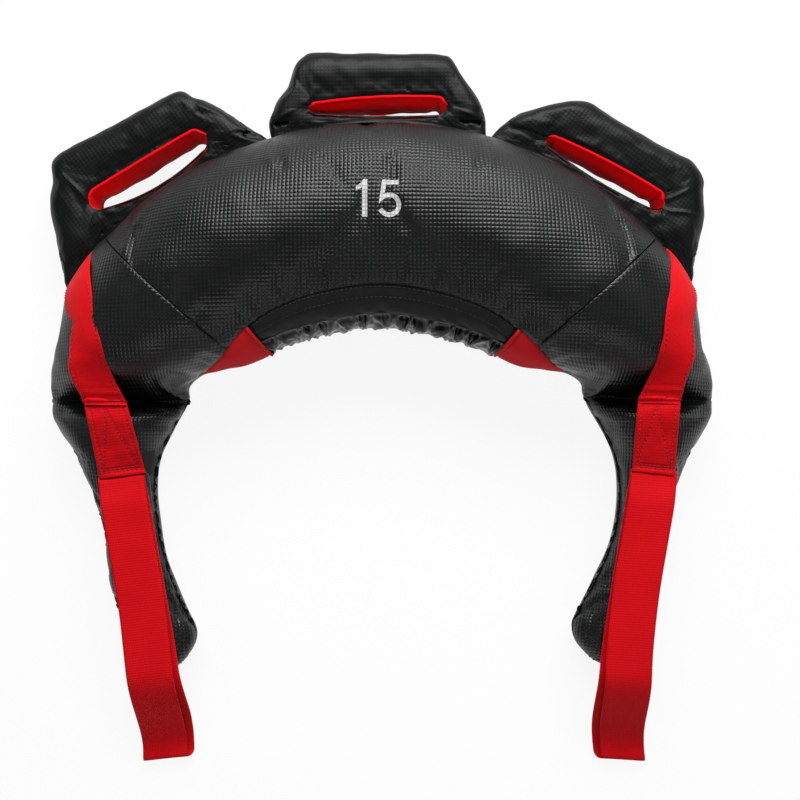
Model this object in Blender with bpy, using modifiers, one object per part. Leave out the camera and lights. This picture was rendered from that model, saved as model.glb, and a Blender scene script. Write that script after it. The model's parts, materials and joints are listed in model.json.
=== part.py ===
"""Sandbag trainer: a sand-filled crescent with three padded handles, two arms and two webbing loops.

The bag lies on its back. +X is to the right, +Y points to the middle handle and +Z to the front.
Until the last step every place is measured from the centre of the crescent's outer arc, on the floor.
"""

import math

import bmesh
import bpy
from mathutils import Matrix, Vector

COLLECTION_NAME = "sandbag_trainer"

# Crescent body
SEAM_RADIUS = 0.3345
HEM_RADIUS = 0.155
CROWN_HEIGHT = 0.122
SEAM_HEIGHT = 0.040
HEM_HEIGHT = 0.050
COVER_WALL = 0.0012
SEAM_GAP = 0.0003
# The covers' walls lean towards the seams on their inside, so the seams open wider on the outside
SEAM_OPENING = 0.0004
PANEL_OPENING = 0.0005
FOLD_OPENING = 0.0009
END_SLOPE_SHARE = 0.155
LEAST_LEAN_SHARE = 0.12
MOST_GAP_SHARE = 0.5
LINER_CLEARANCE = 0.0043
FILLING_CLEARANCE = 0.0020
# The section below the seams drops this many times its seam height, and the floor cuts it off flat
BELLY_FULLNESS = 1.5
FLAT_START_TURN = 180.0 + math.degrees(math.asin(1.0 / BELLY_FULLNESS))
FLAT_END_TURN = 540.0 - FLAT_START_TURN

# Stations along one half of the crescent: station, inner turn and outer turn from the middle, all in
# degrees, then the inner radius, the outer radius and the crown as shares of the sizes above
CRESCENT_SHARES = (
    (0.0, 0.0, 0.0, 1.000, 1.000, 1.000),
    (15.0, 15.0, 15.0, 1.000, 1.000, 1.000),
    (30.0, 29.5, 30.0, 1.035, 1.000, 0.990),
    (46.0, 43.6, 46.0, 1.098, 1.000, 0.955),
    (55.0, 51.0, 55.0, 1.208, 0.995, 0.915),
    (60.0, 55.0, 62.0, 1.290, 0.957, 0.880),
    (64.0, 59.0, 67.8, 1.325, 0.942, 0.830),
    (68.0, 62.4, 72.6, 1.293, 0.928, 0.750),
    (75.5, 70.3, 76.8, 1.311, 0.884, 0.560),
    (82.0, 78.5, 82.0, 1.346, 0.826, 0.460),
    (88.0, 86.5, 88.3, 1.346, 0.781, 0.400),
    (96.0, 96.0, 96.0, 1.332, 0.757, 0.375),
    (104.0, 104.0, 104.0, 1.316, 0.762, 0.370),
    (112.0, 112.0, 112.0, 1.304, 0.773, 0.370),
    (119.0, 119.0, 119.0, 1.298, 0.788, 0.370),
    (128.0, 128.0, 128.0, 1.310, 0.790, 0.360),
)
PANEL_SEAM_STATION = 45.5
COLLAR_END_STATIONS = {"left": 36.5, "right": 38.1}
GUSSET_END_STATION = 61.5
GUSSET_TIP_TURN = 1.0
CREASE_STATION = 68.0
TAIL_STATION = 120.5
TAIL_END_STATION = 127.6
# Turns round the section, in degrees: 0 is the outer seam, 90 the crown, 180 the inner edge
COLLAR_SEAM_TURN = 129.7
COLLAR_END_TURN = 135.7
COLLAR_EVENNESS = 4.0
GUSSET_EVENNESS = {"left": 1.6, "right": 1.95}
HEM_SEAM_TURN = 152.0
HEM_BACK_TURN = 204.0
GUSSET_ROW_SHARES = (0.0, 0.17, 0.33, 0.5, 0.67, 0.83, 1.0)
FRONT_ROW_SHARES = (0.0, 0.09, 0.18, 0.27, 0.36, 0.46, 0.56, 0.67, 0.78, 0.89, 1.0)
OUTER_BACK_SHARES = (0.34, 0.67, 1.0)
COLLAR_ROW_SHARES = (0.0, 0.5, 1.0)
# The bag isn't quite even: over these stations the inner edge moves over by the drift, which makes the
# right arm the slimmer, and towards the tails the drift fades and both arms turn a little. The tail
# drift moves the arms' outer edges over in the same way
DRIFT_START_STATION = 50.0
DRIFT_END_STATION = 70.0
FADE_START_STATION = 92.0
FADE_END_STATION = 122.0
ARM_DRIFT = 0.0050
TAIL_TURN = 1.0
TAIL_DRIFT = 0.0018

# Fold between the bag and each arm
KNUCKLE_RADIUS = 0.024
GROOVE_STEEPNESS = 2.4
GROOVE_SHARPNESS = 4.0
KNUCKLE_RING_TURNS = (7.0, 30.0, 55.0, 78.0)
TAIL_RING_TURNS = (35.0, 55.0, 72.0)
ARM_RINGS = 8
STATION_STEP = 0.05
LINER_END_SHARE = 1.5

# Gathered hem
PUCKER_COUNT = 13
PUCKER_DEPTH = 0.0028
HEM_SWELL = 0.0006

# Handles
# A slot has a straight middle line, which leans, and a taper makes its ends unlike; its rim swells by
# the rise away from the bag and by the belly towards it
SLOT_LENGTHS = {"left": 0.1175, "centre": 0.1215, "right": 0.1180}
SLOT_WIDTHS = {"left": 0.0195, "centre": 0.0135, "right": 0.0155}
SLOT_OFFSETS = {"left": 0.0043, "centre": -0.0010, "right": -0.0090}
SLOT_LEANS = {"left": -5.0, "centre": 0.5, "right": 5.8}
SLOT_TAPER_SHARES = {"left": 0.03, "centre": 0.26, "right": 0.20}
SLOT_RISES = {"left": 0.0004, "centre": 0.0027, "right": 0.0021}
SLOT_BELLIES = {"left": 0.0065, "centre": 0.0015, "right": 0.0030}
HANDLE_HEIGHTS = {"left": 0.0820, "centre": 0.0645, "right": 0.0715}
HANDLE_HALF_BASES = {"left": 0.1040, "centre": 0.0970, "right": 0.1045}
HANDLE_TURNS = {"left": -35.6, "centre": -0.6, "right": 35.1}
BASE_SPANS = {"left": (-56.2, -16.95), "centre": (-16.75, 16.05), "right": (16.25, 55.2)}
GRIP_THICKNESS = 0.046
GRIP_START = 0.022
BEAD_RADIUS = 0.0032
HANDLE_WALL = 0.0010
LINING_WALL = 0.0010
CORE_CLEARANCE = 0.0020
LINING_PROUD = 0.0015
RIM_DROP_SHARE = 0.15
GRIP_ROUNDNESS = 2.4
# Rows over a handle's section: -1 at the slot, 1 at the outer edge
GRIP_ROW_SHARES = (-1.0, -0.1, 0.55, 0.85, 1.0)
BASE_STRIP_THICKNESS = 0.0060
BASE_STRIP_LEAST_WIDTH = 0.0014
# Outline of each handle from its right base corner over the grip to its left base corner: shares of the
# half base width and of the height above the hinge line
HANDLE_OUTLINE_SHARES = {
    "left": (
        (0.962, 0.000), (0.914, 0.200), (0.854, 0.378), (0.786, 0.550), (0.721, 0.661), (0.681, 0.762),
        (0.615, 0.813), (0.433, 0.845), (0.192, 0.885), (-0.144, 0.940), (-0.385, 0.980), (-0.537, 1.000),
        (-0.612, 0.955), (-0.690, 0.790), (-0.851, 0.561), (-0.948, 0.290), (-0.998, 0.140), (-1.040, 0.000),
    ),
    "centre": (
        (0.990, 0.000), (0.971, 0.174), (0.898, 0.405), (0.779, 0.673), (0.733, 0.798), (0.678, 0.905),
        (0.604, 0.941), (0.309, 0.957), (0.000, 0.972), (-0.309, 0.988), (-0.586, 1.000), (-0.680, 0.945),
        (-0.745, 0.850), (-0.790, 0.690), (-0.840, 0.500), (-0.930, 0.330), (-0.980, 0.160), (-1.006, 0.000),
    ),
    "right": (
        (0.995, 0.000), (0.962, 0.130), (0.919, 0.270), (0.837, 0.540), (0.725, 0.745), (0.670, 0.865),
        (0.580, 0.945), (0.475, 0.980), (0.335, 0.945), (0.153, 0.905), (-0.115, 0.881), (-0.372, 0.857),
        (-0.502, 0.850), (-0.640, 0.740), (-0.760, 0.580), (-0.935, 0.260), (-0.980, 0.130), (-1.005, 0.000),
    ),
}
BASE_CORNER_SHARE = 0.985
SLOT_MIDDLE_SHARES = (-1.0, -0.5, 0.0, 0.5, 1.0)

# Red strips sewn over the ends of the bag: station, then the strip's first and last turn, in degrees
STRIP_TURNS = (
    (48.0, 8.0, 15.0),
    (50.0, 8.0, 37.0),
    (52.0, 8.0, 52.0),
    (54.5, 12.0, 65.0),
    (57.0, 36.0, 75.0),
    (59.5, 50.0, 83.0),
    (63.0, 53.0, 92.5),
    (66.6, 58.0, 97.5),
)
STRIP_WALL = 0.0012
STRIP_LIFT = 0.0012

# Webbing
WEBBING_WIDTH = 0.040
WEBBING_THICKNESS = 0.0014
TAB_THICKNESS = 0.0030
TAB_LIFT = 0.0022
TAB_START = 0.012
TAB_END = 0.0625
LOOP_LENGTHS = {"left": 0.2620, "right": 0.2665}
TAB_LEANS = {"left": 12.0, "right": 6.1}
LOOP_LEANS = {"left": 6.0, "right": 3.5}
LOOP_CENTRES = {"left": 0.2258, "right": 0.2368}
LOOP_BOWS = {"left": 0.0080, "right": 0.0123}
LOOP_BOW_EVENNESS = 1.3
LOOP_OPENING = 0.010
LOOP_FLAT_SHARE = 0.66
LOOP_END_LIFT = 0.0004
LOOP_STITCH_LENGTH = 0.014
STITCH_DISTANCE = 0.0036

BLACK_VINYL = ("black_vinyl", (0.012, 0.013, 0.014), 0.42, 0.0)
BLACK_NYLON = ("black_nylon", (0.010, 0.010, 0.011), 0.55, 0.0)
RED_CLOTH = ("red_cloth", (0.46, 0.012, 0.022), 0.75, 0.0)
RED_WEBBING = ("red_webbing", (0.60, 0.004, 0.010), 0.68, 0.0)
SAND_LINER = ("sand_liner", (0.55, 0.47, 0.33), 0.85, 0.0)
FOAM = ("foam", (0.75, 0.74, 0.70), 0.95, 0.0)
LINER_DEPTH = COVER_WALL + LINER_CLEARANCE
FILLING_DEPTH = COVER_WALL + FILLING_CLEARANCE
LINER_END_DISTANCE = LINER_DEPTH * LINER_END_SHARE


def clear_scene():
    """Remove what the file starts with."""
    for item in list(bpy.data.objects):
        bpy.data.objects.remove(item, do_unlink=True)


def new_material(values):
    """Return the named Principled material, made once."""
    name, colour, roughness, metallic = values
    known = bpy.data.materials.get(name)
    if known:
        return known
    material = bpy.data.materials.new(name)
    material.use_nodes = True
    shader = material.node_tree.nodes["Principled BSDF"]
    shader.inputs["Base Color"].default_value = (*colour, 1.0)
    shader.inputs["Roughness"].default_value = roughness
    shader.inputs["Metallic"].default_value = metallic
    material.diffuse_color = (*colour, 1.0)
    return material


def smooth_step(value):
    """Ease from 0 to 1."""
    value = min(1.0, max(0.0, value))
    return value * value * (3.0 - 2.0 * value)


def smooth_rows(rows, position):
    """Read a table at a position with a smooth curve through its rows; the first column is the position."""
    last = len(rows) - 1
    index = 0
    while index < last - 1 and position > rows[index + 1][0]:
        index += 1
    low, high = rows[index], rows[index + 1]
    before, after = rows[max(index - 1, 0)], rows[min(index + 2, last)]
    span = high[0] - low[0]
    t = min(1.0, max(0.0, (position - low[0]) / span))
    values = []
    for column in range(1, len(low)):
        low_slope = (high[column] - before[column]) / (high[0] - before[0]) * span
        high_slope = (after[column] - low[column]) / (after[0] - low[0]) * span
        values.append(
            low[column] * (2.0 * t ** 3 - 3.0 * t ** 2 + 1.0)
            + low_slope * (t ** 3 - 2.0 * t ** 2 + t)
            + high[column] * (3.0 * t ** 2 - 2.0 * t ** 3)
            + high_slope * (t ** 3 - t ** 2)
        )
    return values


def polar(turn, radius):
    """Point on the floor at a turn in degrees from +Y, clockwise."""
    angle = math.radians(turn)
    return Vector((radius * math.sin(angle), radius * math.cos(angle), 0.0))


def edges_at(station):
    """Inner and outer point of the crescent's section at a signed station, and its full crown."""
    side = 1.0 if station >= 0.0 else -1.0
    row = smooth_rows(CRESCENT_SHARES, abs(station))
    inner_turn, outer_turn, inner_share, outer_share, crown_share = row
    place = abs(station)
    drifted = smooth_step((place - DRIFT_START_STATION) / (DRIFT_END_STATION - DRIFT_START_STATION))
    faded = smooth_step((place - FADE_START_STATION) / (FADE_END_STATION - FADE_START_STATION))
    drift = side * ARM_DRIFT * (drifted - faded)
    inner = polar(side * inner_turn - TAIL_TURN * faded, HEM_RADIUS * inner_share + drift)
    tail_drift = side * TAIL_DRIFT * smooth_step((place - CREASE_STATION) / (FADE_START_STATION - CREASE_STATION))
    outer = polar(side * outer_turn - TAIL_TURN * faded, SEAM_RADIUS * outer_share + tail_drift)
    return inner, outer, CROWN_HEIGHT * crown_share


def crease_distance(station):
    """How far the middle of a section lies from the fold between the bag and its arm."""
    side = 1.0 if station >= 0.0 else -1.0
    inner, outer, crown = edges_at(station)
    crease_inner, crease_outer, crease_crown = edges_at(side * CREASE_STATION)
    return ((inner + outer) / 2.0 - (crease_inner + crease_outer) / 2.0).length


def soft_least(first, second):
    """Smaller of two positive values, with a rounded change from one to the other."""
    if first <= 0.0:
        return first
    power = GROOVE_SHARPNESS
    return (first ** -power + second ** -power) ** (-1.0 / power)


def section_heights(station, depth):
    """Crown, floor, hem and seam height of a section, a depth under the skin, and its width share."""
    inner, outer, crown = edges_at(station)
    place = abs(station)
    away = crease_distance(station)
    slant = depth * math.sqrt(1.0 + GROOVE_STEEPNESS ** -2)
    rise = soft_least(GROOVE_STEEPNESS * (away - slant), crown - KNUCKLE_RADIUS - depth)
    crown = KNUCKLE_RADIUS + rise
    floor = depth
    width_share = 1.0
    if place >= CREASE_STATION:
        if away < KNUCKLE_RADIUS:
            rounded = (KNUCKLE_RADIUS - depth) ** 2 - (KNUCKLE_RADIUS - away) ** 2
            floor = KNUCKLE_RADIUS - math.sqrt(max(0.0, rounded))
        middle = (crown + floor) / 2.0
        seam = hem = min(KNUCKLE_RADIUS, middle)
        if place > TAIL_STATION:
            tail_length = TAIL_END_STATION - TAIL_STATION - math.degrees(depth / inner.length)
            along = min(1.0, (place - TAIL_STATION) / tail_length)
            height_share = math.sqrt(1.0 - along ** 2)
            width_share = math.sqrt(1.0 - along ** 3)
            crown = middle + (crown - middle) * height_share
            floor = middle - (middle - floor) * height_share
            seam = hem = middle
    else:
        near = smooth_step((place - PANEL_SEAM_STATION) / (CREASE_STATION - PANEL_SEAM_STATION))
        seam = SEAM_HEIGHT + (KNUCKLE_RADIUS - SEAM_HEIGHT) * near
        hem = HEM_HEIGHT + (KNUCKLE_RADIUS - HEM_HEIGHT) * near
        seam, hem = min(seam, crown), min(hem, crown)
    return crown, floor, hem, seam, width_share


def skin(station, turn, depth=0.0):
    """Point on the bag, or a depth under it, at a station along it and a turn round its section."""
    inner, outer, full_crown = edges_at(station)
    crown, floor, hem, seam, width_share = section_heights(station, depth)
    half = (outer - inner) / 2.0
    across = math.cos(math.radians(turn))
    up = math.sin(math.radians(turn))
    point = (inner + outer) / 2.0 + half.normalized() * (half.length - depth) * width_share * across
    edge = hem + (seam - hem) * (1.0 + across) / 2.0
    if up >= 0.0:
        point.z = edge + max(0.0, crown - edge) * up
    else:
        point.z = max(floor, edge + (edge - floor) * BELLY_FULLNESS * up)
    return point


def add_object(name, mesh, values, parent):
    """Put a mesh in the collection as a named sub-part that hangs on its parent empty."""
    item = bpy.data.objects.new(name, mesh)
    collection.objects.link(item)
    mesh.materials.append(new_material(values))
    if parent:
        mesh.transform(Matrix.Translation(-parent.location))
        item.parent = parent
    mesh.shade_smooth()
    return item


def mapped_grid(columns, rows, place, wrap_columns=False, wrap_rows=False):
    """Grid whose points are placed by a function of two shares; wrapped sides are welded."""
    shape = bmesh.new()
    bmesh.ops.create_grid(shape, x_segments=columns, y_segments=rows, size=0.5)
    for vertex in shape.verts:
        s, t = vertex.co.x + 0.5, vertex.co.y + 0.5
        if wrap_columns and s > 1.0 - 0.5 / columns:
            s = 0.0
        if wrap_rows and t > 1.0 - 0.5 / rows:
            t = 0.0
        vertex.co = place(s, t)
    bmesh.ops.remove_doubles(shape, verts=shape.verts, dist=WELD_DISTANCE)
    return shape


def finish_mesh(shape, name):
    """Turn a bmesh into a named mesh."""
    mesh = bpy.data.meshes.new(name)
    shape.to_mesh(mesh)
    shape.free()
    return mesh


def add_shell(name, shape, wall, values, parent, offset=-1.0):
    """Open surface with a wall; its faces point out, so an offset of -1 thickens it inward."""
    bmesh.ops.reverse_faces(shape, faces=shape.faces)
    item = add_object(name, finish_mesh(shape, name), values, parent)
    solidify = item.modifiers.new("wall", "SOLIDIFY")
    solidify.thickness = wall
    solidify.offset = offset
    solidify.use_even_offset = False
    return item


def add_filled(name, shape, values, parent):
    """Tube whose open ends are closed, as one body."""
    open_edges = [edge for edge in shape.edges if edge.is_boundary]
    bmesh.ops.holes_fill(shape, edges=open_edges, sides=0)
    bmesh.ops.recalc_face_normals(shape, faces=shape.faces)
    return add_object(name, finish_mesh(shape, name), values, parent)


def between(low, high, share):
    """Value at a share of the way from low to high."""
    return low + (high - low) * share


def station_gap(station, opening=PANEL_OPENING):
    """Half the opening between two panels, in degrees of station."""
    inner, outer, crown = edges_at(station)
    return math.degrees(opening / 2.0 / inner.length)


def turn_gap(station, turn):
    """Half a seam's opening in degrees of turn, wide enough for both walls to lean towards the seam."""
    inner, outer, full_crown = edges_at(station)
    crown, floor, hem, seam, width_share = section_heights(station, 0.0)
    half_width = (outer - inner).length * width_share / 2.0
    half_height = min(crown - max(hem, seam), min(hem, seam) - floor)
    across = abs(math.sin(math.radians(turn)))
    up = abs(math.cos(math.radians(turn)))
    lean = math.sin(math.atan(END_SLOPE_SHARE * half_width / half_height)) * up
    opening = SEAM_OPENING / 2.0 + COVER_WALL * max(LEAST_LEAN_SHARE, lean)
    reach = math.hypot(half_width * across, half_height * up)
    return math.degrees(math.asin(min(MOST_GAP_SHARE, opening / reach)))


def side_of(station):
    """Name of the side that a signed station lies on."""
    return "right" if station >= 0.0 else "left"


def collar_end(station):
    """Station at which the collar ends on the same side."""
    return COLLAR_END_STATIONS[side_of(station)]


def front_limit(station):
    """Turn at which the front panel ends: at the collar, then down the gusset's edge."""
    place = abs(station)
    end = collar_end(station)
    if place <= end:
        return between(COLLAR_SEAM_TURN, COLLAR_END_TURN, (place / end) ** COLLAR_EVENNESS)
    share = (place - end) / (GUSSET_END_STATION - end)
    return between(COLLAR_END_TURN, 180.0, min(1.0, share) ** GUSSET_EVENNESS[side_of(station)])


def back_limit(station):
    """Turn at which the back panel starts: behind the hem, then behind the gusset."""
    end = collar_end(station)
    share = (abs(station) - end) / (GUSSET_END_STATION - end)
    return between(HEM_BACK_TURN, 180.0, min(1.0, max(0.0, share)))


def row_turns(low, high, shares):
    """Turns of a patch's rows from shares of the way between its limits."""
    return [between(low, high, share) for share in shares]


def front_turns(station):
    """Turns of the rows of a front panel."""
    limit = front_limit(station)
    return row_turns(turn_gap(station, 0.0), limit - turn_gap(station, limit), FRONT_ROW_SHARES)


def back_turns(station):
    """Turns of the rows of a back panel, with a row at each side of the flat."""
    limit = back_limit(station)
    inner_side = row_turns(limit + turn_gap(station, limit), FLAT_START_TURN, COLLAR_ROW_SHARES[:-1])
    outer_side = row_turns(FLAT_END_TURN, 360.0 - turn_gap(station, 0.0), OUTER_BACK_SHARES)
    return inner_side + [FLAT_START_TURN, FLAT_END_TURN] + outer_side


def round_turns(station):
    """Turns of the rows of a whole tube, with a row at each side of the flat."""
    upper = row_turns(0.0, 180.0, FRONT_ROW_SHARES)
    lower = [(180.0 + FLAT_START_TURN) / 2.0, FLAT_START_TURN]
    return upper + lower + [FLAT_END_TURN] + row_turns(FLAT_END_TURN, 360.0, OUTER_BACK_SHARES[:-1])


def crescent_rows(stations, turns, depth=0.0, wrapped=False):
    """Open patch, or whole tube, of the bag's skin at a list of stations and a function of turns."""
    columns = len(stations) - 1
    rows = len(turns(stations[0])) - (0 if wrapped else 1)

    def place(s, t):
        station = stations[round(s * columns)]
        listed = turns(station)
        return skin(station, listed[round(t * rows) % len(listed)], depth)

    return mapped_grid(columns, rows, place, wrap_rows=wrapped)


def spread(first, last, columns):
    """Evenly spaced stations."""
    return [between(first, last, index / columns) for index in range(columns + 1)]


def build_panels(root):
    """Front and back panels, with a liner full of sand inside each pair."""
    seam = PANEL_SEAM_STATION
    crease = CREASE_STATION
    seam_gap = station_gap(seam)
    crease_gap = station_gap(crease, FOLD_OPENING)
    neck = []
    for side, sign in (("left", -1.0), ("right", 1.0)):
        collar_side = spread(COLLAR_END_STATIONS[side], seam - seam_gap, 3)
        neck_half = spread(0.0, COLLAR_END_STATIONS[side], 9)[:-1] + collar_side
        neck += [sign * station for station in neck_half if station > 0.0 or sign > 0.0]
    arm_side = spread(GUSSET_END_STATION, crease - crease_gap, 4)
    end_half = spread(seam + seam_gap, GUSSET_END_STATION, 4)[:-1] + arm_side
    spans = {
        "centre": sorted(neck),
        "left": [-station for station in reversed(end_half)],
        "right": end_half,
    }
    for side, stations in spans.items():
        front = crescent_rows(stations, front_turns)
        add_shell("front_panel_" + side, front, COVER_WALL, BLACK_VINYL, root)
        back = crescent_rows(stations, back_turns)
        add_shell("back_panel_" + side, back, COVER_WALL, BLACK_VINYL, root)
        if side != "centre":
            stations = [station for station in stations if crease_distance(station) > LINER_END_DISTANCE]
        liner = crescent_rows(stations, round_turns, LINER_DEPTH, wrapped=True)
        add_filled("sand_liner_" + side, liner, SAND_LINER, root)


def build_collar(root):
    """Smooth collar over the neck side and the gathered hem at its edge."""
    first = station_gap(collar_end(-1.0)) - collar_end(-1.0)
    last = collar_end(1.0) - station_gap(collar_end(1.0))

    def collar_turns(station):
        low = front_limit(station)
        low += turn_gap(station, low)
        high = HEM_SEAM_TURN - turn_gap(station, HEM_SEAM_TURN)
        return row_turns(low, high, COLLAR_ROW_SHARES)

    collar = crescent_rows(spread(first, last, 20), collar_turns)
    add_shell("neck_collar", collar, COVER_WALL, BLACK_NYLON, root)

    def place(s, t):
        station = between(first, last, s)
        low = HEM_SEAM_TURN + turn_gap(station, HEM_SEAM_TURN)
        high = HEM_BACK_TURN - turn_gap(station, HEM_BACK_TURN)
        turn = between(low, high, t)
        point = skin(station, turn)
        inner, outer, crown = edges_at(station)
        outward = (inner - outer).normalized()
        fold = abs(math.sin(math.pi * PUCKER_COUNT * s))
        swell = math.sin(math.pi * t)
        return point + outward * (HEM_SWELL + PUCKER_DEPTH * fold) * swell

    hem = mapped_grid(PUCKER_COUNT * 6, 5, place)
    add_shell("gathered_hem", hem, COVER_WALL, BLACK_NYLON, root)


def build_gussets(root):
    """Red triangles between the collar and the inside of each arm."""
    end = GUSSET_END_STATION - GUSSET_TIP_TURN

    def gusset_turns(station):
        low, high = front_limit(station), back_limit(station)
        low += turn_gap(station, low)
        high -= turn_gap(station, high)
        return row_turns(low, high, GUSSET_ROW_SHARES)

    for side, sign in (("left", -1.0), ("right", 1.0)):
        start = collar_end(sign) + station_gap(collar_end(sign))
        stations = sorted(sign * station for station in spread(start, end, 7))
        gusset = crescent_rows(stations, gusset_turns)
        add_shell("gusset_" + side, gusset, COVER_WALL, RED_CLOTH, root)


def build_side_strips(root):
    """Red strips that run over the bag's ends from the handle seam to the fold."""
    first, last = STRIP_TURNS[0][0], STRIP_TURNS[-1][0]
    for side, sign in (("left", -1.0), ("right", 1.0)):

        def place(s, t, sign=sign):
            station = sign * between(first, last, s if sign > 0.0 else 1.0 - s)
            low, high = smooth_rows(STRIP_TURNS, abs(station))
            return skin(station, between(low, high, t), -STRIP_LIFT)

        strip = mapped_grid(12, 6, place)
        add_shell("side_strip_" + side, strip, STRIP_WALL, RED_CLOTH, root, offset=1.0)


def arm_stations(depth):
    """Stations of an arm's rings: round the knuckle, along the arm and round the tail."""
    stations = []
    for turn in KNUCKLE_RING_TURNS:
        wanted = KNUCKLE_RADIUS - (KNUCKLE_RADIUS - depth) * math.cos(math.radians(turn))
        station = CREASE_STATION
        while crease_distance(station) < wanted:
            station += STATION_STEP
        stations.append(station)
    knuckle_end = stations[-1]
    for index in range(1, ARM_RINGS + 1):
        stations.append(between(knuckle_end, TAIL_STATION, index / ARM_RINGS))
    tail_end = TAIL_END_STATION - math.degrees(depth / edges_at(TAIL_END_STATION)[0].length)
    for turn in TAIL_RING_TURNS:
        stations.append(between(TAIL_STATION, tail_end, math.sin(math.radians(turn))))
    return stations


def build_arms(hinges):
    """Each arm: front and back covers over a sand filling, on the hinge at the fold."""
    for side, sign in (("left", -1.0), ("right", 1.0)):
        hinge = hinges["arm_" + side]

        def signed(depth, sign=sign):
            return sorted(sign * station for station in arm_stations(depth))

        front = crescent_rows(signed(0.0), front_turns)
        add_shell("arm_front_" + side, front, COVER_WALL, BLACK_VINYL, hinge)
        back = crescent_rows(signed(0.0), back_turns)
        add_shell("arm_back_" + side, back, COVER_WALL, BLACK_VINYL, hinge)
        filling = crescent_rows(signed(FILLING_DEPTH), round_turns, FILLING_DEPTH, wrapped=True)
        add_filled("arm_filling_" + side, filling, SAND_LINER, hinge)


def handle_outline(side):
    """Closed outline of a handle in its own frame: x along the hinge line, y away from the bag."""
    half_base = HANDLE_HALF_BASES[side]
    height = HANDLE_HEIGHTS[side]
    grip = [Vector((half_base * x, height * y, 0.0)) for x, y in HANDLE_OUTLINE_SHARES[side]]
    left, right = base_corners(side)
    half = slot_half_length(side)
    offset = SLOT_OFFSETS[side]
    middle = [Vector((offset + half * share, -BEAD_RADIUS, 0.0)) for share in SLOT_MIDDLE_SHARES]
    return [left, (left + middle[0]) / 2.0] + middle + [(middle[-1] + right) / 2.0, right] + grip


def base_corners(side):
    """Left and right end of a handle's straight root."""
    shares = HANDLE_OUTLINE_SHARES[side][-1][0], HANDLE_OUTLINE_SHARES[side][0][0]
    reach = HANDLE_HALF_BASES[side] * BASE_CORNER_SHARE
    return [Vector((reach * share, -BEAD_RADIUS, 0.0)) for share in shares]


def slot_half_length(side):
    """Half the length of the slot's middle line."""
    return (SLOT_LENGTHS[side] - SLOT_WIDTHS[side]) / 2.0


def slot_reach(side, share, up):
    """Distance from the slot's middle line to its rim, at a share along the line and a direction's rise."""
    swell = SLOT_RISES[side] if up > 0.0 else SLOT_BELLIES[side]
    end_width = SLOT_WIDTHS[side] * (1.0 + SLOT_TAPER_SHARES[side] * share)
    return end_width / 2.0 + swell * abs(up) * (1.0 - share ** 2)


def slot_frame(side):
    """Frame of a slot's middle line, placed so that the slot just clears the handle's root."""
    lean = math.radians(SLOT_LEANS[side])
    half = slot_half_length(side)
    drops = [slot_reach(side, share, -1.0) - half * math.sin(lean) * share for share in SLOT_MIDDLE_SHARES]
    centre = BEAD_RADIUS + SEAM_GAP + LINING_WALL + max(drops)
    return Matrix.Translation((SLOT_OFFSETS[side], centre, 0.0)) @ Matrix.Rotation(lean, 4, "Z")


def slot_point(side, outside, spread):
    """Point of the slot's rim, widened by a spread, that faces a point of the outline."""
    half = slot_half_length(side)
    frame = slot_frame(side)
    local = frame.inverted() @ outside
    base = Vector((min(half, max(-half, local.x)), 0.0, 0.0))
    direction = (local - base).normalized()
    reach = slot_reach(side, base.x / half, direction.y)
    return frame @ (base + direction * (reach + spread)), frame.to_3x3() @ direction


def grip_heights(distance, depth):
    """Heights of a handle's edge, top and bottom over its root, for a skin a depth inside."""
    share = smooth_step((distance - BEAD_RADIUS) / (GRIP_START - BEAD_RADIUS))
    inside_share = smooth_step((distance - BEAD_RADIUS - depth) / (GRIP_START - BEAD_RADIUS))
    edge = between(0.0, GRIP_THICKNESS / 2.0 - SEAM_HEIGHT, share)
    top = between(BEAD_RADIUS, GRIP_THICKNESS - SEAM_HEIGHT, inside_share) - depth
    bottom = depth - between(BEAD_RADIUS, SEAM_HEIGHT, inside_share)
    return edge, max(edge, top), min(edge, bottom)


def handle_section(side, outside, across, depth=0.0, rim_spread=LINING_WALL + SEAM_GAP):
    """Top and bottom point of the handle's section: across is -1 at the slot and 1 at the edge."""
    inside, direction = slot_point(side, outside, rim_spread + depth)
    outer = outside - direction * depth
    point = inside + (outer - inside) * (across + 1.0) / 2.0
    if across < 0.0:
        crown = 1.0 - RIM_DROP_SHARE * across ** 2
    else:
        crown = max(0.0, 1.0 - across ** GRIP_ROUNDNESS) ** (1.0 / GRIP_ROUNDNESS)
    edge, top, bottom = grip_heights(point.y, depth)
    flat = Vector((point.x, point.y, 0.0))
    up = Vector((0.0, 0.0, 1.0))
    return flat + up * between(edge, top, crown), flat + up * between(edge, bottom, crown)


def handle_matrix(side):
    """Frame of a handle: its origin is the middle of its hinge line."""
    middle = polar(HANDLE_TURNS[side], HINGE_LINE_RADIUS)
    middle.z = SEAM_HEIGHT
    return Matrix.Translation(middle) @ Matrix.Rotation(-math.radians(HANDLE_TURNS[side]), 4, "Z")


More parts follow.
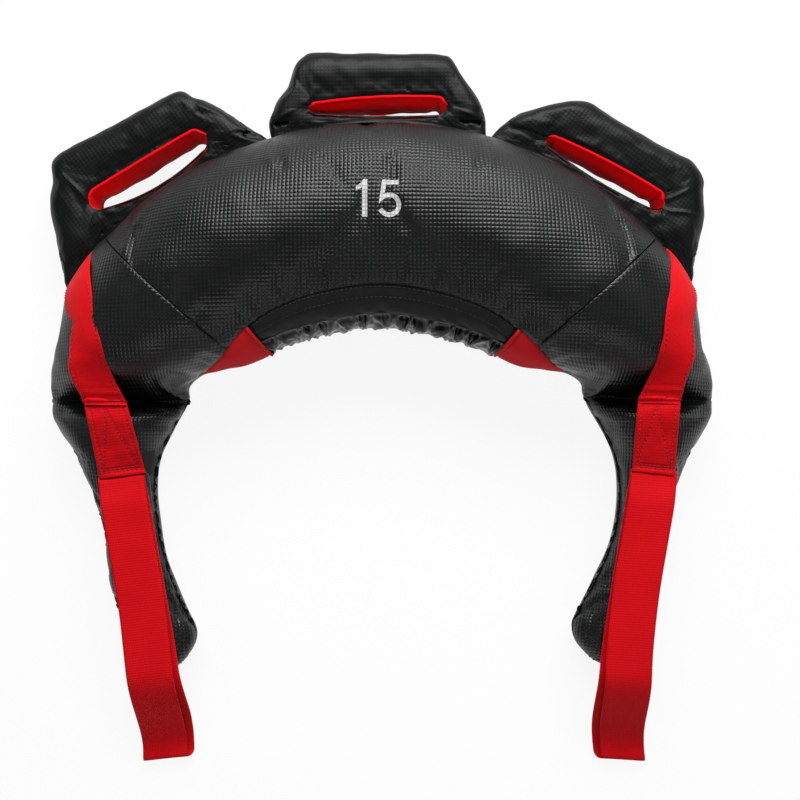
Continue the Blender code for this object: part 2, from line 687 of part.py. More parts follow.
def build_handles(hinges, root):
    """Each handle: cover, foam core and red slot lining on its hinge, and the strip under it."""
    over = GRIP_ROW_SHARES
    for side in SLOT_WIDTHS:
        frame = handle_matrix(side)
        hinge = hinges["handle_" + side]
        outline = handle_outline(side)
        count = len(outline)

        def ring_point(s, position, depth):
            outside = outline[round(s * count) % count]
            last = len(over) - 1
            if position <= last:
                return frame @ handle_section(side, outside, over[position], depth)[0]
            return frame @ handle_section(side, outside, over[2 * last - position], depth)[1]

        rows = 2 * (len(over) - 1)
        cover = mapped_grid(
            count, rows, lambda s, t: ring_point(s, round(t * rows), 0.0), wrap_columns=True,
        )
        add_shell("handle_cover_" + side, cover, HANDLE_WALL, BLACK_VINYL, hinge)

        core_depth = HANDLE_WALL + CORE_CLEARANCE
        core = mapped_grid(
            count, rows + 1, lambda s, t: ring_point(s, round(t * (rows + 1)), core_depth),
            wrap_columns=True, wrap_rows=True,
        )
        add_filled("handle_core_" + side, core, FOAM, hinge)

        def lining_point(s, t):
            outside = outline[round(s * count) % count]
            rim = slot_point(side, outside, 0.0)[0]
            top, bottom = handle_section(side, outside, -1.0)
            height = between(top.z + LINING_PROUD, bottom.z, t)
            return frame @ Vector((rim.x, rim.y, height))

        lining = mapped_grid(count, 3, lining_point, wrap_columns=True)
        add_shell("slot_lining_" + side, lining, LINING_WALL, RED_CLOTH, hinge)

        build_base_strip(side, frame, root)


def build_base_strip(side, frame, root):
    """Flat strip between the curved seam and the straight hinge line of a handle."""
    chord = -BEAD_RADIUS - SEAM_GAP
    first, last = BASE_SPANS[side]
    left, right = base_corners(side)

    def place(s, t):
        turn = between(first, last, s)
        low = polar(turn, edges_at(turn)[1].length + SEAM_GAP)
        low.z = SEAM_HEIGHT
        high = frame @ Vector((between(left.x, right.x, s), chord, 0.0))
        return low.lerp(high, t)

    strip = mapped_grid(16, 1, place)
    add_shell("handle_base_" + side, strip, BASE_STRIP_THICKNESS, BLACK_VINYL, root, offset=0.0)


def tab_point(side, sign, s, t):
    """Point of the sewn tab: s runs across the webbing, t from the fold to the stitch line."""
    along = between(TAB_START, TAB_END, t)
    lean = math.tan(math.radians(TAB_LEANS[side]))
    centre = LOOP_CENTRES[side] + (TAB_END - along) * lean
    offset = WEBBING_WIDTH * (s - 0.5)
    turned = offset * math.tan(math.radians(LOOP_LEANS[side])) * t
    return Vector((sign * (centre + offset), edges_at(sign * CREASE_STATION)[0].y - along - turned, 0.0))


def front_height(sign, place):
    """Height of an arm's front over a place on the floor, whose station is found by halving."""
    low, high = CREASE_STATION, TAIL_STATION
    for _ in range(24):
        station = (low + high) / 2.0
        inner, outer, crown = edges_at(sign * station)
        direction = outer - inner
        offset = place - inner
        if sign * (direction.x * offset.y - direction.y * offset.x) > 0.0:
            high = station
        else:
            low = station
    share = 2.0 * offset.dot(direction) / direction.dot(direction) - 1.0
    turn = math.degrees(math.acos(max(-1.0, min(1.0, share))))
    return skin(sign * station, turn).z


def build_webbing(hinges):
    """Each webbing loop on its hinge, and the sewn tab that carries it on the arm."""
    for side, sign in (("left", -1.0), ("right", 1.0)):
        arm_hinge = hinges["arm_" + side]

        def tab_place(s, t, side=side, sign=sign):
            point = tab_point(side, sign, s if sign > 0.0 else 1.0 - s, t)
            point.z = front_height(sign, point) + TAB_LIFT
            return point

        tab = mapped_grid(8, 9, tab_place)
        add_shell("webbing_tab_" + side, tab, TAB_THICKNESS, RED_WEBBING, arm_hinge, offset=1.0)
        build_loop(side, sign, hinges["strap_" + side])


def stitch_point(side, sign):
    """Middle of the stitch line that holds a loop on its tab."""
    fold = edges_at(sign * CREASE_STATION)[0]
    point = Vector((sign * LOOP_CENTRES[side], fold.y - TAB_END - STITCH_DISTANCE, 0.0))
    heights = []
    for share in (-0.5, 0.0, 0.5):
        place = point + Vector((WEBBING_WIDTH * share, 0.0, 0.0))
        heights.append(front_height(sign, place))
    point.z = max(heights) + TAB_LIFT + TAB_THICKNESS / 2.0
    return point


def loop_profile(length, start_height):
    """Closed side view of a loop: distance from the stitches and height, front leg first."""
    end_radius = LOOP_OPENING / 2.0
    bead = WEBBING_THICKNESS
    floor_height = end_radius + WEBBING_THICKNESS + LOOP_END_LIFT
    points = []
    steps = 12
    for index in range(steps + 1):
        share = index / steps
        fall = smooth_step((share - LOOP_FLAT_SHARE) / (1.0 - LOOP_FLAT_SHARE))
        points.append((share, between(start_height, floor_height, fall)))
    half_gaps = []
    for share, height in points:
        opened = smooth_step(share * length / LOOP_STITCH_LENGTH / 2.0)
        half_gaps.append(between(bead, end_radius, opened))
    front = [(share * (length - end_radius), height + gap)
             for (share, height), gap in zip(points, half_gaps)]
    rear = [(share * (length - end_radius), height - gap)
            for (share, height), gap in zip(points, half_gaps)]
    turn_points = []
    for turn in (60.0, 30.0, 0.0, -30.0, -60.0):
        angle = math.radians(turn)
        turn_points.append((length - end_radius + end_radius * math.cos(angle),
                            floor_height + end_radius * math.sin(angle)))
    start = (-bead, start_height)
    return front + turn_points + list(reversed(rear)) + [start]


def build_loop(side, sign, hinge):
    """Flat webbing bent into one closed loop."""
    length = LOOP_LENGTHS[side]
    profile = loop_profile(length, hinge.location.z)
    count = len(profile)
    lean = -sign * math.radians(LOOP_LEANS[side])
    frame = Matrix.Translation(Vector((hinge.location.x, hinge.location.y, 0.0)))
    frame = frame @ Matrix.Rotation(lean, 4, "Z")

    def place(s, t):
        distance, height = profile[round(s * count) % count]
        share = min(1.0, max(0.0, distance / length))
        bow = -sign * LOOP_BOWS[side] * math.sin(math.pi * share ** LOOP_BOW_EVENNESS)
        return frame @ Vector((WEBBING_WIDTH * (t - 0.5) + bow, -distance, height))

    loop = mapped_grid(count, 2, place, wrap_columns=True)
    add_shell("webbing_loop_" + side, loop, WEBBING_THICKNESS, RED_WEBBING, hinge, offset=0.0)


def add_empty(name, location, parent=None):
    """Empty on a joint axis."""
    empty = bpy.data.objects.new(name, None)
    empty.location = location
    collection.objects.link(empty)
    if parent:
        empty.parent = parent
    return empty


def add_hinges():
    """Empties of the seven bodies, each on its hinge line."""
    hinges = {}
    for side in SLOT_WIDTHS:
        hinges["handle_" + side] = add_empty("handle_hinge_" + side, handle_matrix(side).translation)
    for side, sign in (("left", -1.0), ("right", 1.0)):
        inner, outer, crown = edges_at(sign * CREASE_STATION)
        fold = (inner + outer) / 2.0
        fold.y -= KNUCKLE_RADIUS
        fold.z = KNUCKLE_RADIUS
        hinges["arm_" + side] = add_empty("arm_hinge_" + side, fold)
        hinges["strap_" + side] = add_empty("strap_hinge_" + side, stitch_point(side, sign))
    return hinges


def stand_on_origin(root):
    """Move the root so that the origin is under the middle of the whole object, on the floor."""
    bpy.context.view_layer.update()
    graph = bpy.context.evaluated_depsgraph_get()
    low = Vector((math.inf,) * 3)
    high = Vector((-math.inf,) * 3)
    for item in collection.objects:
        if item.type != "MESH":
            continue
        shown = item.evaluated_get(graph)
        for vertex in shown.to_mesh().vertices:
            point = shown.matrix_world @ vertex.co
            low = Vector(map(min, low, point))
            high = Vector(map(max, high, point))
        shown.to_mesh_clear()
    root.location = (-(low.x + high.x) / 2.0, -(low.y + high.y) / 2.0, -low.z)
    bpy.context.view_layer.update()


WELD_DISTANCE = SEAM_GAP / 10.0
HINGE_LINE_RADIUS = SEAM_RADIUS + 2.0 * SEAM_GAP + BASE_STRIP_LEAST_WIDTH + BEAD_RADIUS

clear_scene()
collection = bpy.data.collections.new(COLLECTION_NAME)
bpy.context.scene.collection.children.link(collection)
bag = add_empty("bag", (0.0, 0.0, 0.0))
joint_empties = add_hinges()
build_panels(None)
build_collar(None)
build_gussets(None)
build_side_strips(None)
build_arms(joint_empties)
build_handles(joint_empties, None)
build_webbing(joint_empties)
for child in collection.objects:
    if child != bag and child.parent is None:
        child.parent = bag
stand_on_origin(bag)
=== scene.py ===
"""Sandbag trainer, dressed: skins, padding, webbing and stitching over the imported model.

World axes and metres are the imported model's: +X to the right arm, +Y to the middle handle, +Z to the front.
The crescent's own frame has its origin at the centre of the outer arc, on the floor.
"""

import json
import math

import bmesh
import bpy
import numpy as np
from mathutils import Matrix, Vector, noise
from mathutils.bvhtree import BVHTree


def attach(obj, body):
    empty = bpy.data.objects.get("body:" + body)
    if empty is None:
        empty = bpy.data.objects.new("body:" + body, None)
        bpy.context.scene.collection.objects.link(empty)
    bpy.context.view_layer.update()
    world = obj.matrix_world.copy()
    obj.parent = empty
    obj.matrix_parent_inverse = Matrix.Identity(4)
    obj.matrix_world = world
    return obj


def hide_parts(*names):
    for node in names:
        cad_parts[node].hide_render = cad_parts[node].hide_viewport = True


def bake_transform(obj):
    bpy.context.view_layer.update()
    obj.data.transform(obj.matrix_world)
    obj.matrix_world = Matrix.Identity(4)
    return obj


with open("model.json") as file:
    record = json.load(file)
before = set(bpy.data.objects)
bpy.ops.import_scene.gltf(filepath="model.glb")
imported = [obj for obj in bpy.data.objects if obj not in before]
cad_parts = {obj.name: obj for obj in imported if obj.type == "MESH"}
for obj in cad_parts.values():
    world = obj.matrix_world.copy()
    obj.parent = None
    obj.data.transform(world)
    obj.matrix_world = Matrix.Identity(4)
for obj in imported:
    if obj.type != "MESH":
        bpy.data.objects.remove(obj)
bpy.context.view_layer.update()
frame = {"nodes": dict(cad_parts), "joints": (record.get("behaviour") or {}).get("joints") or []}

SIDES = (("left", -1.0), ("right", 1.0))
JOINTS = {joint["name"]: joint for joint in frame["joints"]}

# Crescent body, as in the part's source
SEAM_RADIUS = 0.3345
HEM_RADIUS = 0.155
CROWN_HEIGHT = 0.122
SEAM_HEIGHT = 0.040
HEM_HEIGHT = 0.050
BELLY_FULLNESS = 1.5
# Station, inner turn and outer turn in degrees, then shares of the inner radius, outer radius and crown
CRESCENT_SHARES = (
    (0.0, 0.0, 0.0, 1.000, 1.000, 1.000),
    (15.0, 15.0, 15.0, 1.000, 1.000, 1.000),
    (30.0, 29.5, 30.0, 1.035, 1.000, 0.990),
    (46.0, 43.6, 46.0, 1.098, 1.000, 0.955),
    (55.0, 51.0, 55.0, 1.208, 0.995, 0.915),
    (60.0, 55.0, 62.0, 1.290, 0.957, 0.880),
    (64.0, 59.0, 67.8, 1.325, 0.942, 0.830),
    (68.0, 62.4, 72.6, 1.293, 0.928, 0.750),
    (75.5, 70.3, 76.8, 1.311, 0.884, 0.560),
    (82.0, 78.5, 82.0, 1.346, 0.826, 0.460),
    (88.0, 86.5, 88.3, 1.346, 0.781, 0.400),
    (96.0, 96.0, 96.0, 1.332, 0.757, 0.375),
    (104.0, 104.0, 104.0, 1.316, 0.762, 0.370),
    (112.0, 112.0, 112.0, 1.304, 0.773, 0.370),
    (119.0, 119.0, 119.0, 1.298, 0.788, 0.370),
    (128.0, 128.0, 128.0, 1.310, 0.790, 0.360),
)
PANEL_SEAM_STATION = 45.5
COLLAR_END_STATIONS = {"left": 36.5, "right": 38.1}
GUSSET_END_STATION = 61.5
CREASE_STATION = 68.0
TAIL_STATION = 120.5
TAIL_END_STATION = 127.6
COLLAR_SEAM_TURN = 129.7
COLLAR_END_TURN = 135.7
COLLAR_EVENNESS = 4.0
GUSSET_EVENNESS = {"left": 1.6, "right": 1.95}
HEM_SEAM_TURN = 152.0
HEM_BACK_TURN = 204.0
DRIFT_START_STATION = 50.0
DRIFT_END_STATION = 70.0
FADE_START_STATION = 92.0
FADE_END_STATION = 122.0
ARM_DRIFT = 0.0050
TAIL_TURN = 1.0
TAIL_DRIFT = 0.0018
KNUCKLE_RADIUS = 0.024
GROOVE_STEEPNESS = 2.4
GROOVE_SHARPNESS = 4.0
KNUCKLE_RISE_SHARE = 0.55
# The cloth bridges the bottom of the fold by this much
GROOVE_FILL = 0.011

# Handles, as in the part's source
SLOT_LENGTHS = {"left": 0.1175, "centre": 0.1215, "right": 0.1180}
SLOT_WIDTHS = {"left": 0.0195, "centre": 0.0135, "right": 0.0155}
SLOT_OFFSETS = {"left": 0.0043, "centre": -0.0010, "right": -0.0090}
SLOT_LEANS = {"left": -5.0, "centre": 0.5, "right": 5.8}
SLOT_TAPER_SHARES = {"left": 0.03, "centre": 0.26, "right": 0.20}
SLOT_RISES = {"left": 0.0004, "centre": 0.0027, "right": 0.0021}
SLOT_BELLIES = {"left": 0.0065, "centre": 0.0015, "right": 0.0030}
HANDLE_HEIGHTS = {"left": 0.0820, "centre": 0.0645, "right": 0.0715}
HANDLE_HALF_BASES = {"left": 0.1040, "centre": 0.0970, "right": 0.1045}
HANDLE_TURNS = {"left": -35.6, "centre": -0.6, "right": 35.1}
BASE_SPANS = {"left": (-56.2, -16.95), "centre": (-16.75, 16.05), "right": (16.25, 55.2)}
HINGE_LINE_RADIUS = 0.3397
GRIP_THICKNESS = 0.046
GRIP_START = 0.022
BEAD_RADIUS = 0.0032
SLOT_MARGIN = BEAD_RADIUS + 0.0013
RIM_DROP_SHARE = 0.15
GRIP_ROUNDNESS = 2.4
# Outline from the right base corner over the grip to the left one: shares of the half base and the height
HANDLE_OUTLINE_SHARES = {
    "left": (
        (0.962, 0.000), (0.914, 0.200), (0.854, 0.378), (0.786, 0.550), (0.721, 0.661), (0.681, 0.762),
        (0.615, 0.813), (0.433, 0.845), (0.192, 0.885), (-0.144, 0.940), (-0.385, 0.980), (-0.537, 1.000),
        (-0.612, 0.955), (-0.690, 0.790), (-0.851, 0.561), (-0.948, 0.290), (-0.998, 0.140), (-1.040, 0.000),
    ),
    "centre": (
        (0.990, 0.000), (0.971, 0.174), (0.898, 0.405), (0.779, 0.673), (0.733, 0.798), (0.678, 0.905),
        (0.604, 0.941), (0.309, 0.957), (0.000, 0.972), (-0.309, 0.988), (-0.586, 1.000), (-0.680, 0.945),
        (-0.745, 0.850), (-0.790, 0.690), (-0.840, 0.500), (-0.930, 0.330), (-0.980, 0.160), (-1.006, 0.000),
    ),
    "right": (
        (0.995, 0.000), (0.962, 0.130), (0.919, 0.270), (0.837, 0.540), (0.725, 0.745), (0.670, 0.865),
        (0.580, 0.945), (0.475, 0.980), (0.335, 0.945), (0.153, 0.905), (-0.115, 0.881), (-0.372, 0.857),
        (-0.502, 0.850), (-0.640, 0.740), (-0.760, 0.580), (-0.935, 0.260), (-0.980, 0.130), (-1.005, 0.000),
    ),
}

# Slot linings: swell of the far wall, inset of the far rim, the rolled rim as reach and height, and its near side
LINING_SWELLS = {"left": 0.0016, "centre": 0.0030, "right": 0.0026}
FAR_RIM_INSETS = {"left": 0.0012, "centre": 0.0028, "right": 0.0030}
RIM_GAP = 0.0010
RIM_PROFILE = (
    (0.0026, -0.0026), (0.0026, -0.0010), (0.0020, -0.0002), (0.0010, 0.0004), (0.0001, 0.0001),
    (-0.0005, -0.0006), (-0.0007, -0.0014),
)
LINING_STEPS = 16
GATHER_PITCH = 0.0026
NEAR_RIM_TUCK = 0.0020
NEAR_RIM_DROP = 0.0022

# Skins: least lift over the CAD shape, and how far a handle's cover is kept from its core
LEAST_LIFT = -0.0012
HANDLE_LEAST_LIFT = -0.0006
CORE_GAP = 0.0011
CORE_REACH = 0.004

# Red strips: station, then first and last turn in degrees; the last two rows reach past the fold
STRIP_TURNS = (
    (48.0, 8.0, 15.0),
    (50.0, 8.0, 37.0),
    (52.0, 8.0, 52.0),
    (54.5, 12.0, 65.0),
    (57.0, 36.0, 75.0),
    (59.5, 50.0, 83.0),
    (63.0, 53.0, 92.5),
    (66.6, 58.0, 97.5),
    (68.4, 63.5, 101.0),
    (69.6, 67.0, 103.5),
)
STRIP_LIFT = 0.0020
STRIP_WALL = 0.0010
STRIP_SEAM_INSET = 0.0034
STRIP_END_SEAMS = (0.0110, 0.0175)
# The strip rises onto the bridge over the fold from this station, over so many stations
STRIP_BRIDGE_START = 58.5
STRIP_BRIDGE_SPAN = 8.5
# It follows the photograph's edges from this row of pixels, over so many rows
STRIP_VIEW_START = 305.0
STRIP_VIEW_SPAN = 45.0
STRIP_DROOP = 0.0016
# The bridge is sampled from this far behind the fold, at this spacing
BRIDGE_START = -0.036
BRIDGE_STEP = 0.0015
# Outer and inner edge of each strip near the fold, in pixels of the photograph
STRIP_EDGES = {
    "left": (
        ((66, 295), (68, 308), (72, 323), (70, 345), (68, 368), (73, 383), (80, 395), (84.5, 405), (85, 412)),
        ((89, 280), (94, 303), (98, 328), (106, 360), (116, 383), (126, 401), (128, 410)),
    ),
    "right": (
        ((693, 285), (691, 306), (695, 334), (695, 358), (686, 381), (680.5, 402), (680, 412)),
        ((668, 270), (668, 302), (665, 334), (657, 361), (646, 383), (638, 399), (637, 410)),
    ),
}

# Webbing
WEBBING_WIDTH = 0.040
WEBBING_THICKNESS = 0.0014
# Corners of each tab in pixels of the photograph: two at the fold, then two at the loop
TAB_CORNERS = {
    "left": ((84.0, 406.6), (126.5, 402.6), (99.5, 479.0), (145.5, 473.0)),
    "right": ((638.0, 401.6), (681.0, 402.6), (632.0, 471.0), (675.0, 475.5)),
}
TAB_WALL = 0.0028
TAB_LIFT = 0.0052
TAB_SINK = 0.0016
TAB_START = 0.0050
TAB_END = 0.0625
TAB_BOX_INSET = 0.0042
TAB_BOX_START = 0.0040
TAB_LEANS = {"left": 12.0, "right": 6.1}
LOOP_LENGTHS = {"left": 0.2620, "right": 0.2665}
LOOP_LEANS = {"left": 6.0, "right": 3.5}
LOOP_CENTRES = {"left": 0.2258, "right": 0.2368}
LOOP_BOWS = {"left": 0.0080, "right": 0.0123}
LOOP_BOW_EVENNESS = 1.3
LOOP_OPENING = 0.010
LOOP_FLAT_SHARE = 0.66
LOOP_END_LIFT = 0.0004
LOOP_STITCH_LENGTH = 0.014
REAR_LEG_ASIDE = 0.0050

# Seams and stitches
SEAM_DEPTH = 0.0014
GROOVE_WIDTH = 0.0016
PILLOW_DEPTH = 0.0011
PILLOW_WIDTH = 0.0075
EDGE_SHARES = (0.14, 0.32, 0.60)
STITCH_PITCH = 0.0040
STITCH_LENGTH = 0.0031
STITCH_RADIUS = 0.00042
WEAVE_PITCH = 0.0033

# Cloth simulation: its frames, the spacing of the coarse grid that it moves, and pressure, slack and cap of each cloth
CLOTH_FRAMES = 20
CLOTH_SPACING = 0.0055
CLOTH_QUALITY = 6
CLOTH_STIFFNESS = 0.4
CENTRE_SWELL = (2.5, 0.010, 0.0030)
SIDE_SWELL = (2.5, 0.012, 0.0035)
HANDLE_SWELL = (1.2, 0.004, 0.0010)
HANDLE_HELD_WIDTH = 0.0070
ROOT_SEAM_PLACE = 0.0026

# Neck: places of the collar's stitches, folds in the hem and the ridge and groove beside a gusset's edge
COLLAR_SEAMS = {"collar_stitches": 0.0125, "collar_edge_stitches": 0.0030}
HEM_FOLDS = 13
GUSSET_RIDGE = 0.0018
GUSSET_GROOVE = 0.0042

# Weight number: height, gap over the cloth, spacing of its cuts and its middle in the crescent's frame
PRINT_HEIGHT = 0.0300
PRINT_GAP = 0.00025
PRINT_CUTS = 0.0011
PRINT_PLACE = Vector((-0.0010, 0.2545, 0.0))

# Camera: straight above, from the widths of the webbing high on the bag and on the floor
CAMERA_REACH = Vector((0.0165, 0.0925, 0.905))
CAMERA_LENS = 44.0
CAMERA_SENSOR = 36.0
PHOTO_SIZE = 800.0
# Height from which rays look down for a skin
RAY_HEIGHT = 0.3

# Lamps: place, size and watts; the window stands behind the handles
LAMPS = {
    "window": ((0.18, 1.72, 1.45), (1.8, 1.0), 80.0),
    "left_side": ((-1.7, -0.3, 1.5), (1.0, 1.0), 4.0),
    "right_side": ((1.7, -0.2, 1.5), (1.0, 1.0), 4.0),
    "front_side": ((0.1, -1.7, 1.5), (1.4, 0.8), 10.0),
}
LAMP_TARGET = Vector((0.0, 0.08, 0.05))
WORLD_STRENGTH = 0.08
FLOOR_SIZE = 40.0
FLOOR_GLOW = 0.90

# A fold fades out beyond this share of its own length from its middle
FOLD_REACH_SHARE = 0.62

# Folds that the photograph shows, in its pixels: points of the line, depth in metres (a ridge where it is
# negative) and half width in pixels
HANDLE_FOLDS = {
    "left": (
        (((200, 112), (216, 118), (234, 125)), 0.0016, 3.0),
        (((198, 106), (214, 111), (232, 119)), -0.0008, 2.6),
        (((206, 132), (214, 127), (224, 128)), 0.0012, 2.4),
        (((64, 176), (75, 187), (88, 201)), -0.0018, 2.4),
        (((58, 182), (70, 194), (80, 210)), 0.0022, 4.5),
        (((240, 133), (252, 137), (268, 139)), 0.0012, 2.5),
        (((100, 178), (140, 155), (178, 133)), 0.0010, 7.0),
    ),
    "centre": (
        (((272, 133), (280, 125), (290, 118)), 0.0014, 2.4),
        (((271, 124), (280, 117), (292, 110)), -0.0008, 2.2),
        (((275, 112), (286, 106), (297, 104)), 0.0012, 2.6),
        (((484, 134), (474, 127), (462, 120)), 0.0013, 2.4),
        (((485, 124), (476, 116), (463, 111)), -0.0009, 2.4),
        (((480, 112), (466, 107), (455, 105)), 0.0012, 2.6),
        (((320, 84), (380, 80), (440, 84)), 0.0010, 7.0),
    ),
    "right": (
        (((508, 127), (524, 131), (543, 140)), 0.0018, 3.0),
        (((512, 119), (530, 120), (556, 124)), -0.0008, 4.0),
        (((666, 200), (676, 196), (688, 190)), -0.0012, 2.0),
        (((670, 205), (684, 203), (699, 201)), 0.0022, 3.4),
        (((668, 211), (684, 212), (700, 216)), -0.0012, 2.2),
        (((690, 178), (694, 184), (699, 188)), 0.0012, 2.2),
        (((580, 130), (620, 148), (660, 172)), 0.0010, 7.0),
    ),
}
FRONT_FOLDS = (
    (((273, 140), (277, 152), (284, 167)), 0.0030, 3.6),
    (((266, 144), (268, 154), (272, 166)), -0.0008, 3.4),
    (((487, 141), (484, 152), (477, 166)), 0.0026, 3.6),
    (((494, 146), (492, 156), (488, 168)), -0.0008, 3.4),
)
SIDE_FOLDS = {
    "left": (
        (((158, 380), (168, 391), (182, 396), (191, 398)), -0.0022, 3.6),
        (((160, 393), (174, 402), (190, 406)), 0.0034, 4.6),
        (((142, 404), (158, 407), (178, 412)), -0.0016, 3.4),
        (((138, 421), (156, 424), (176, 424)), 0.0020, 5.0),
        (((150, 380), (166, 374), (186, 378)), 0.0016, 4.5),
        (((62, 412), (72, 422), (84, 428)), 0.0020, 4.5),
        (((152, 470), (157, 500), (162, 540)), 0.0012, 5.0),
        (((170, 600), (176, 625), (184, 640)), 0.0012, 5.0),
    ),
    "right": (
        (((612, 378), (600, 390), (588, 396), (580, 398)), -0.0020, 3.6),
        (((612, 392), (598, 402), (586, 406)), 0.0032, 4.6),
        (((628, 404), (612, 408), (596, 412)), -0.0014, 3.4),
        (((634, 422), (616, 426), (600, 426)), 0.0018, 5.0),
        (((612, 376), (598, 370), (582, 376)), 0.0014, 4.5),
        (((704, 410), (692, 420), (682, 426)), 0.0020, 4.5),
        (((620, 470), (618, 500), (612, 540)), 0.0012, 5.0),
        (((600, 600), (592, 622), (588, 640)), 0.0012, 5.0),
    ),
}


def smooth_step(value):
    """Ease from 0 to 1, of a number or an array."""
    value = np.clip(value, 0.0, 1.0)
    return value * value * (3.0 - 2.0 * value)


def between(low, high, share):
    """Value at a share of the way from low to high."""
    return low + (high - low) * share


def bell(distance, centre, width):
    """One at a centre, falling off smoothly to both sides over a width."""
    return np.exp(-((distance - centre) / width) ** 2)


def path_lengths(path):
    """Length along a path at each of its points."""
    return np.concatenate([[0.0], np.cumsum(np.linalg.norm(np.diff(path, axis=0), axis=1))])


def spread(first, last, columns):
    """Evenly spaced values."""
    return [between(first, last, index / columns) for index in range(columns + 1)]


def with_edges(values):
    """Values with extra ones close to both ends, where a seam dips."""
    first, last = values[1] - values[0], values[-1] - values[-2]
    near = [values[0] + first * share for share in EDGE_SHARES]
    far = [values[-1] - last * share for share in reversed(EDGE_SHARES)]
    return values[:1] + near + values[1:-1] + far + values[-1:]


def smooth_rows(rows, position):
    """Read a table at a position with a smooth curve through its rows; the first column is the position."""
    last = len(rows) - 1
    index = 0
    while index < last - 1 and position > rows[index + 1][0]:
        index += 1
    low, high = rows[index], rows[index + 1]
    before, after = rows[max(index - 1, 0)], rows[min(index + 2, last)]
    span = high[0] - low[0]
    t = min(1.0, max(0.0, (position - low[0]) / span))
    values = []
    for column in range(1, len(low)):
        low_slope = (high[column] - before[column]) / (high[0] - before[0]) * span
        high_slope = (after[column] - low[column]) / (after[0] - low[0]) * span
        values.append(
            low[column] * (2.0 * t ** 3 - 3.0 * t ** 2 + 1.0)
            + low_slope * (t ** 3 - 2.0 * t ** 2 + t)
            + high[column] * (3.0 * t ** 2 - 2.0 * t ** 3)
            + high_slope * (t ** 3 - t ** 2)
        )
    return values


def polar(turn, radius):
    """Point on the floor at a turn in degrees from +Y, clockwise."""
    angle = math.radians(turn)
    return Vector((radius * math.sin(angle), radius * math.cos(angle), 0.0))


def joint_place(name):
    """World place of a joint."""
    return Vector(JOINTS[name]["pos_m"])


ORIGIN = joint_place("handle_centre_fold") - polar(HANDLE_TURNS["centre"], HINGE_LINE_RADIUS)
ORIGIN.z = 0.0
CAMERA_PLACE = ORIGIN + CAMERA_REACH


def edges_at(station):
    """Inner and outer point of the crescent's section at a signed station, and its full crown."""
    side = 1.0 if station >= 0.0 else -1.0
    place = abs(station)
    inner_turn, outer_turn, inner_share, outer_share, crown_share = smooth_rows(CRESCENT_SHARES, place)
    drifted = smooth_step((place - DRIFT_START_STATION) / (DRIFT_END_STATION - DRIFT_START_STATION))
    faded = smooth_step((place - FADE_START_STATION) / (FADE_END_STATION - FADE_START_STATION))
    tail = smooth_step((place - CREASE_STATION) / (FADE_START_STATION - CREASE_STATION))
    inner_radius = HEM_RADIUS * inner_share + side * ARM_DRIFT * (drifted - faded)
    inner = polar(side * inner_turn - TAIL_TURN * faded, inner_radius)
    outer = polar(side * outer_turn - TAIL_TURN * faded, SEAM_RADIUS * outer_share + side * TAIL_DRIFT * tail)
    return inner, outer, CROWN_HEIGHT * crown_share


def crease_distance(station):
    """How far the middle of a section lies from the fold between the bag and its arm."""
    side = 1.0 if station >= 0.0 else -1.0
    inner, outer = edges_at(station)[:2]
    crease_inner, crease_outer = edges_at(side * CREASE_STATION)[:2]
    return ((inner + outer) / 2.0 - (crease_inner + crease_outer) / 2.0).length


def soft_least(first, second):
    """Smaller of two positive values, with a rounded change from one to the other."""
    return (first ** -GROOVE_SHARPNESS + second ** -GROOVE_SHARPNESS) ** (-1.0 / GROOVE_SHARPNESS)


def section(station):
    """All that the skin needs at a station: its edges, crown, floor, hem and seam height and width share."""
    inner, outer, crown = edges_at(station)
    place = abs(station)
    away = crease_distance(station)
    crown = KNUCKLE_RADIUS + soft_least(GROOVE_STEEPNESS * away + GROOVE_FILL, crown - KNUCKLE_RADIUS)
    floor = 0.0
    width_share = 1.0
    if place >= CREASE_STATION:
        if away < KNUCKLE_RADIUS:
            rounded = KNUCKLE_RADIUS ** 2 - (KNUCKLE_RADIUS - away) ** 2
            floor = (KNUCKLE_RADIUS - math.sqrt(max(0.0, rounded))) * KNUCKLE_RISE_SHARE
        middle = (crown + floor) / 2.0
        seam = hem = min(KNUCKLE_RADIUS, middle)
        if place > TAIL_STATION:
            along = min(1.0, (place - TAIL_STATION) / (TAIL_END_STATION - TAIL_STATION))
            height_share = math.sqrt(1.0 - along ** 2)
            width_share = math.sqrt(1.0 - along ** 3)
            crown = middle + (crown - middle) * height_share
            floor = middle - (middle - floor) * height_share
            seam = hem = middle
    else:
        if away < KNUCKLE_RADIUS / 2.0:
            floor = KNUCKLE_RADIUS * KNUCKLE_RISE_SHARE * (1.0 - away / KNUCKLE_RADIUS * 2.0) ** 2
        near = smooth_step((place - PANEL_SEAM_STATION) / (CREASE_STATION - PANEL_SEAM_STATION))
        seam = min(crown, between(SEAM_HEIGHT, KNUCKLE_RADIUS, near))
        hem = min(crown, between(HEM_HEIGHT, KNUCKLE_RADIUS, near))
    return inner, outer, crown, floor, hem, seam, width_share


def skin_row(station, turns):
    """Points on the bag, in world places, at one station and a list of turns round its section."""
    inner, outer, crown, floor, hem, seam, width_share = section(station)
    turns = np.radians(np.asarray(turns, float))
    across, up = np.cos(turns), np.sin(turns)
    middle = (inner + outer) / 2.0 + ORIGIN
    half = (outer - inner) / 2.0 * width_share
    points = np.array(middle)[None, :] + across[:, None] * np.array(half)[None, :]
    edge = hem + (seam - hem) * (1.0 + across) / 2.0
    upper = edge + np.maximum(0.0, crown - edge) * up
    lower = np.maximum(floor, edge + (edge - floor) * BELLY_FULLNESS * up)
    points[:, 2] = np.where(up >= 0.0, upper, lower)
    return points


def side_of(station):
    """Name of the side that a signed station lies on."""
    return "right" if station >= 0.0 else "left"


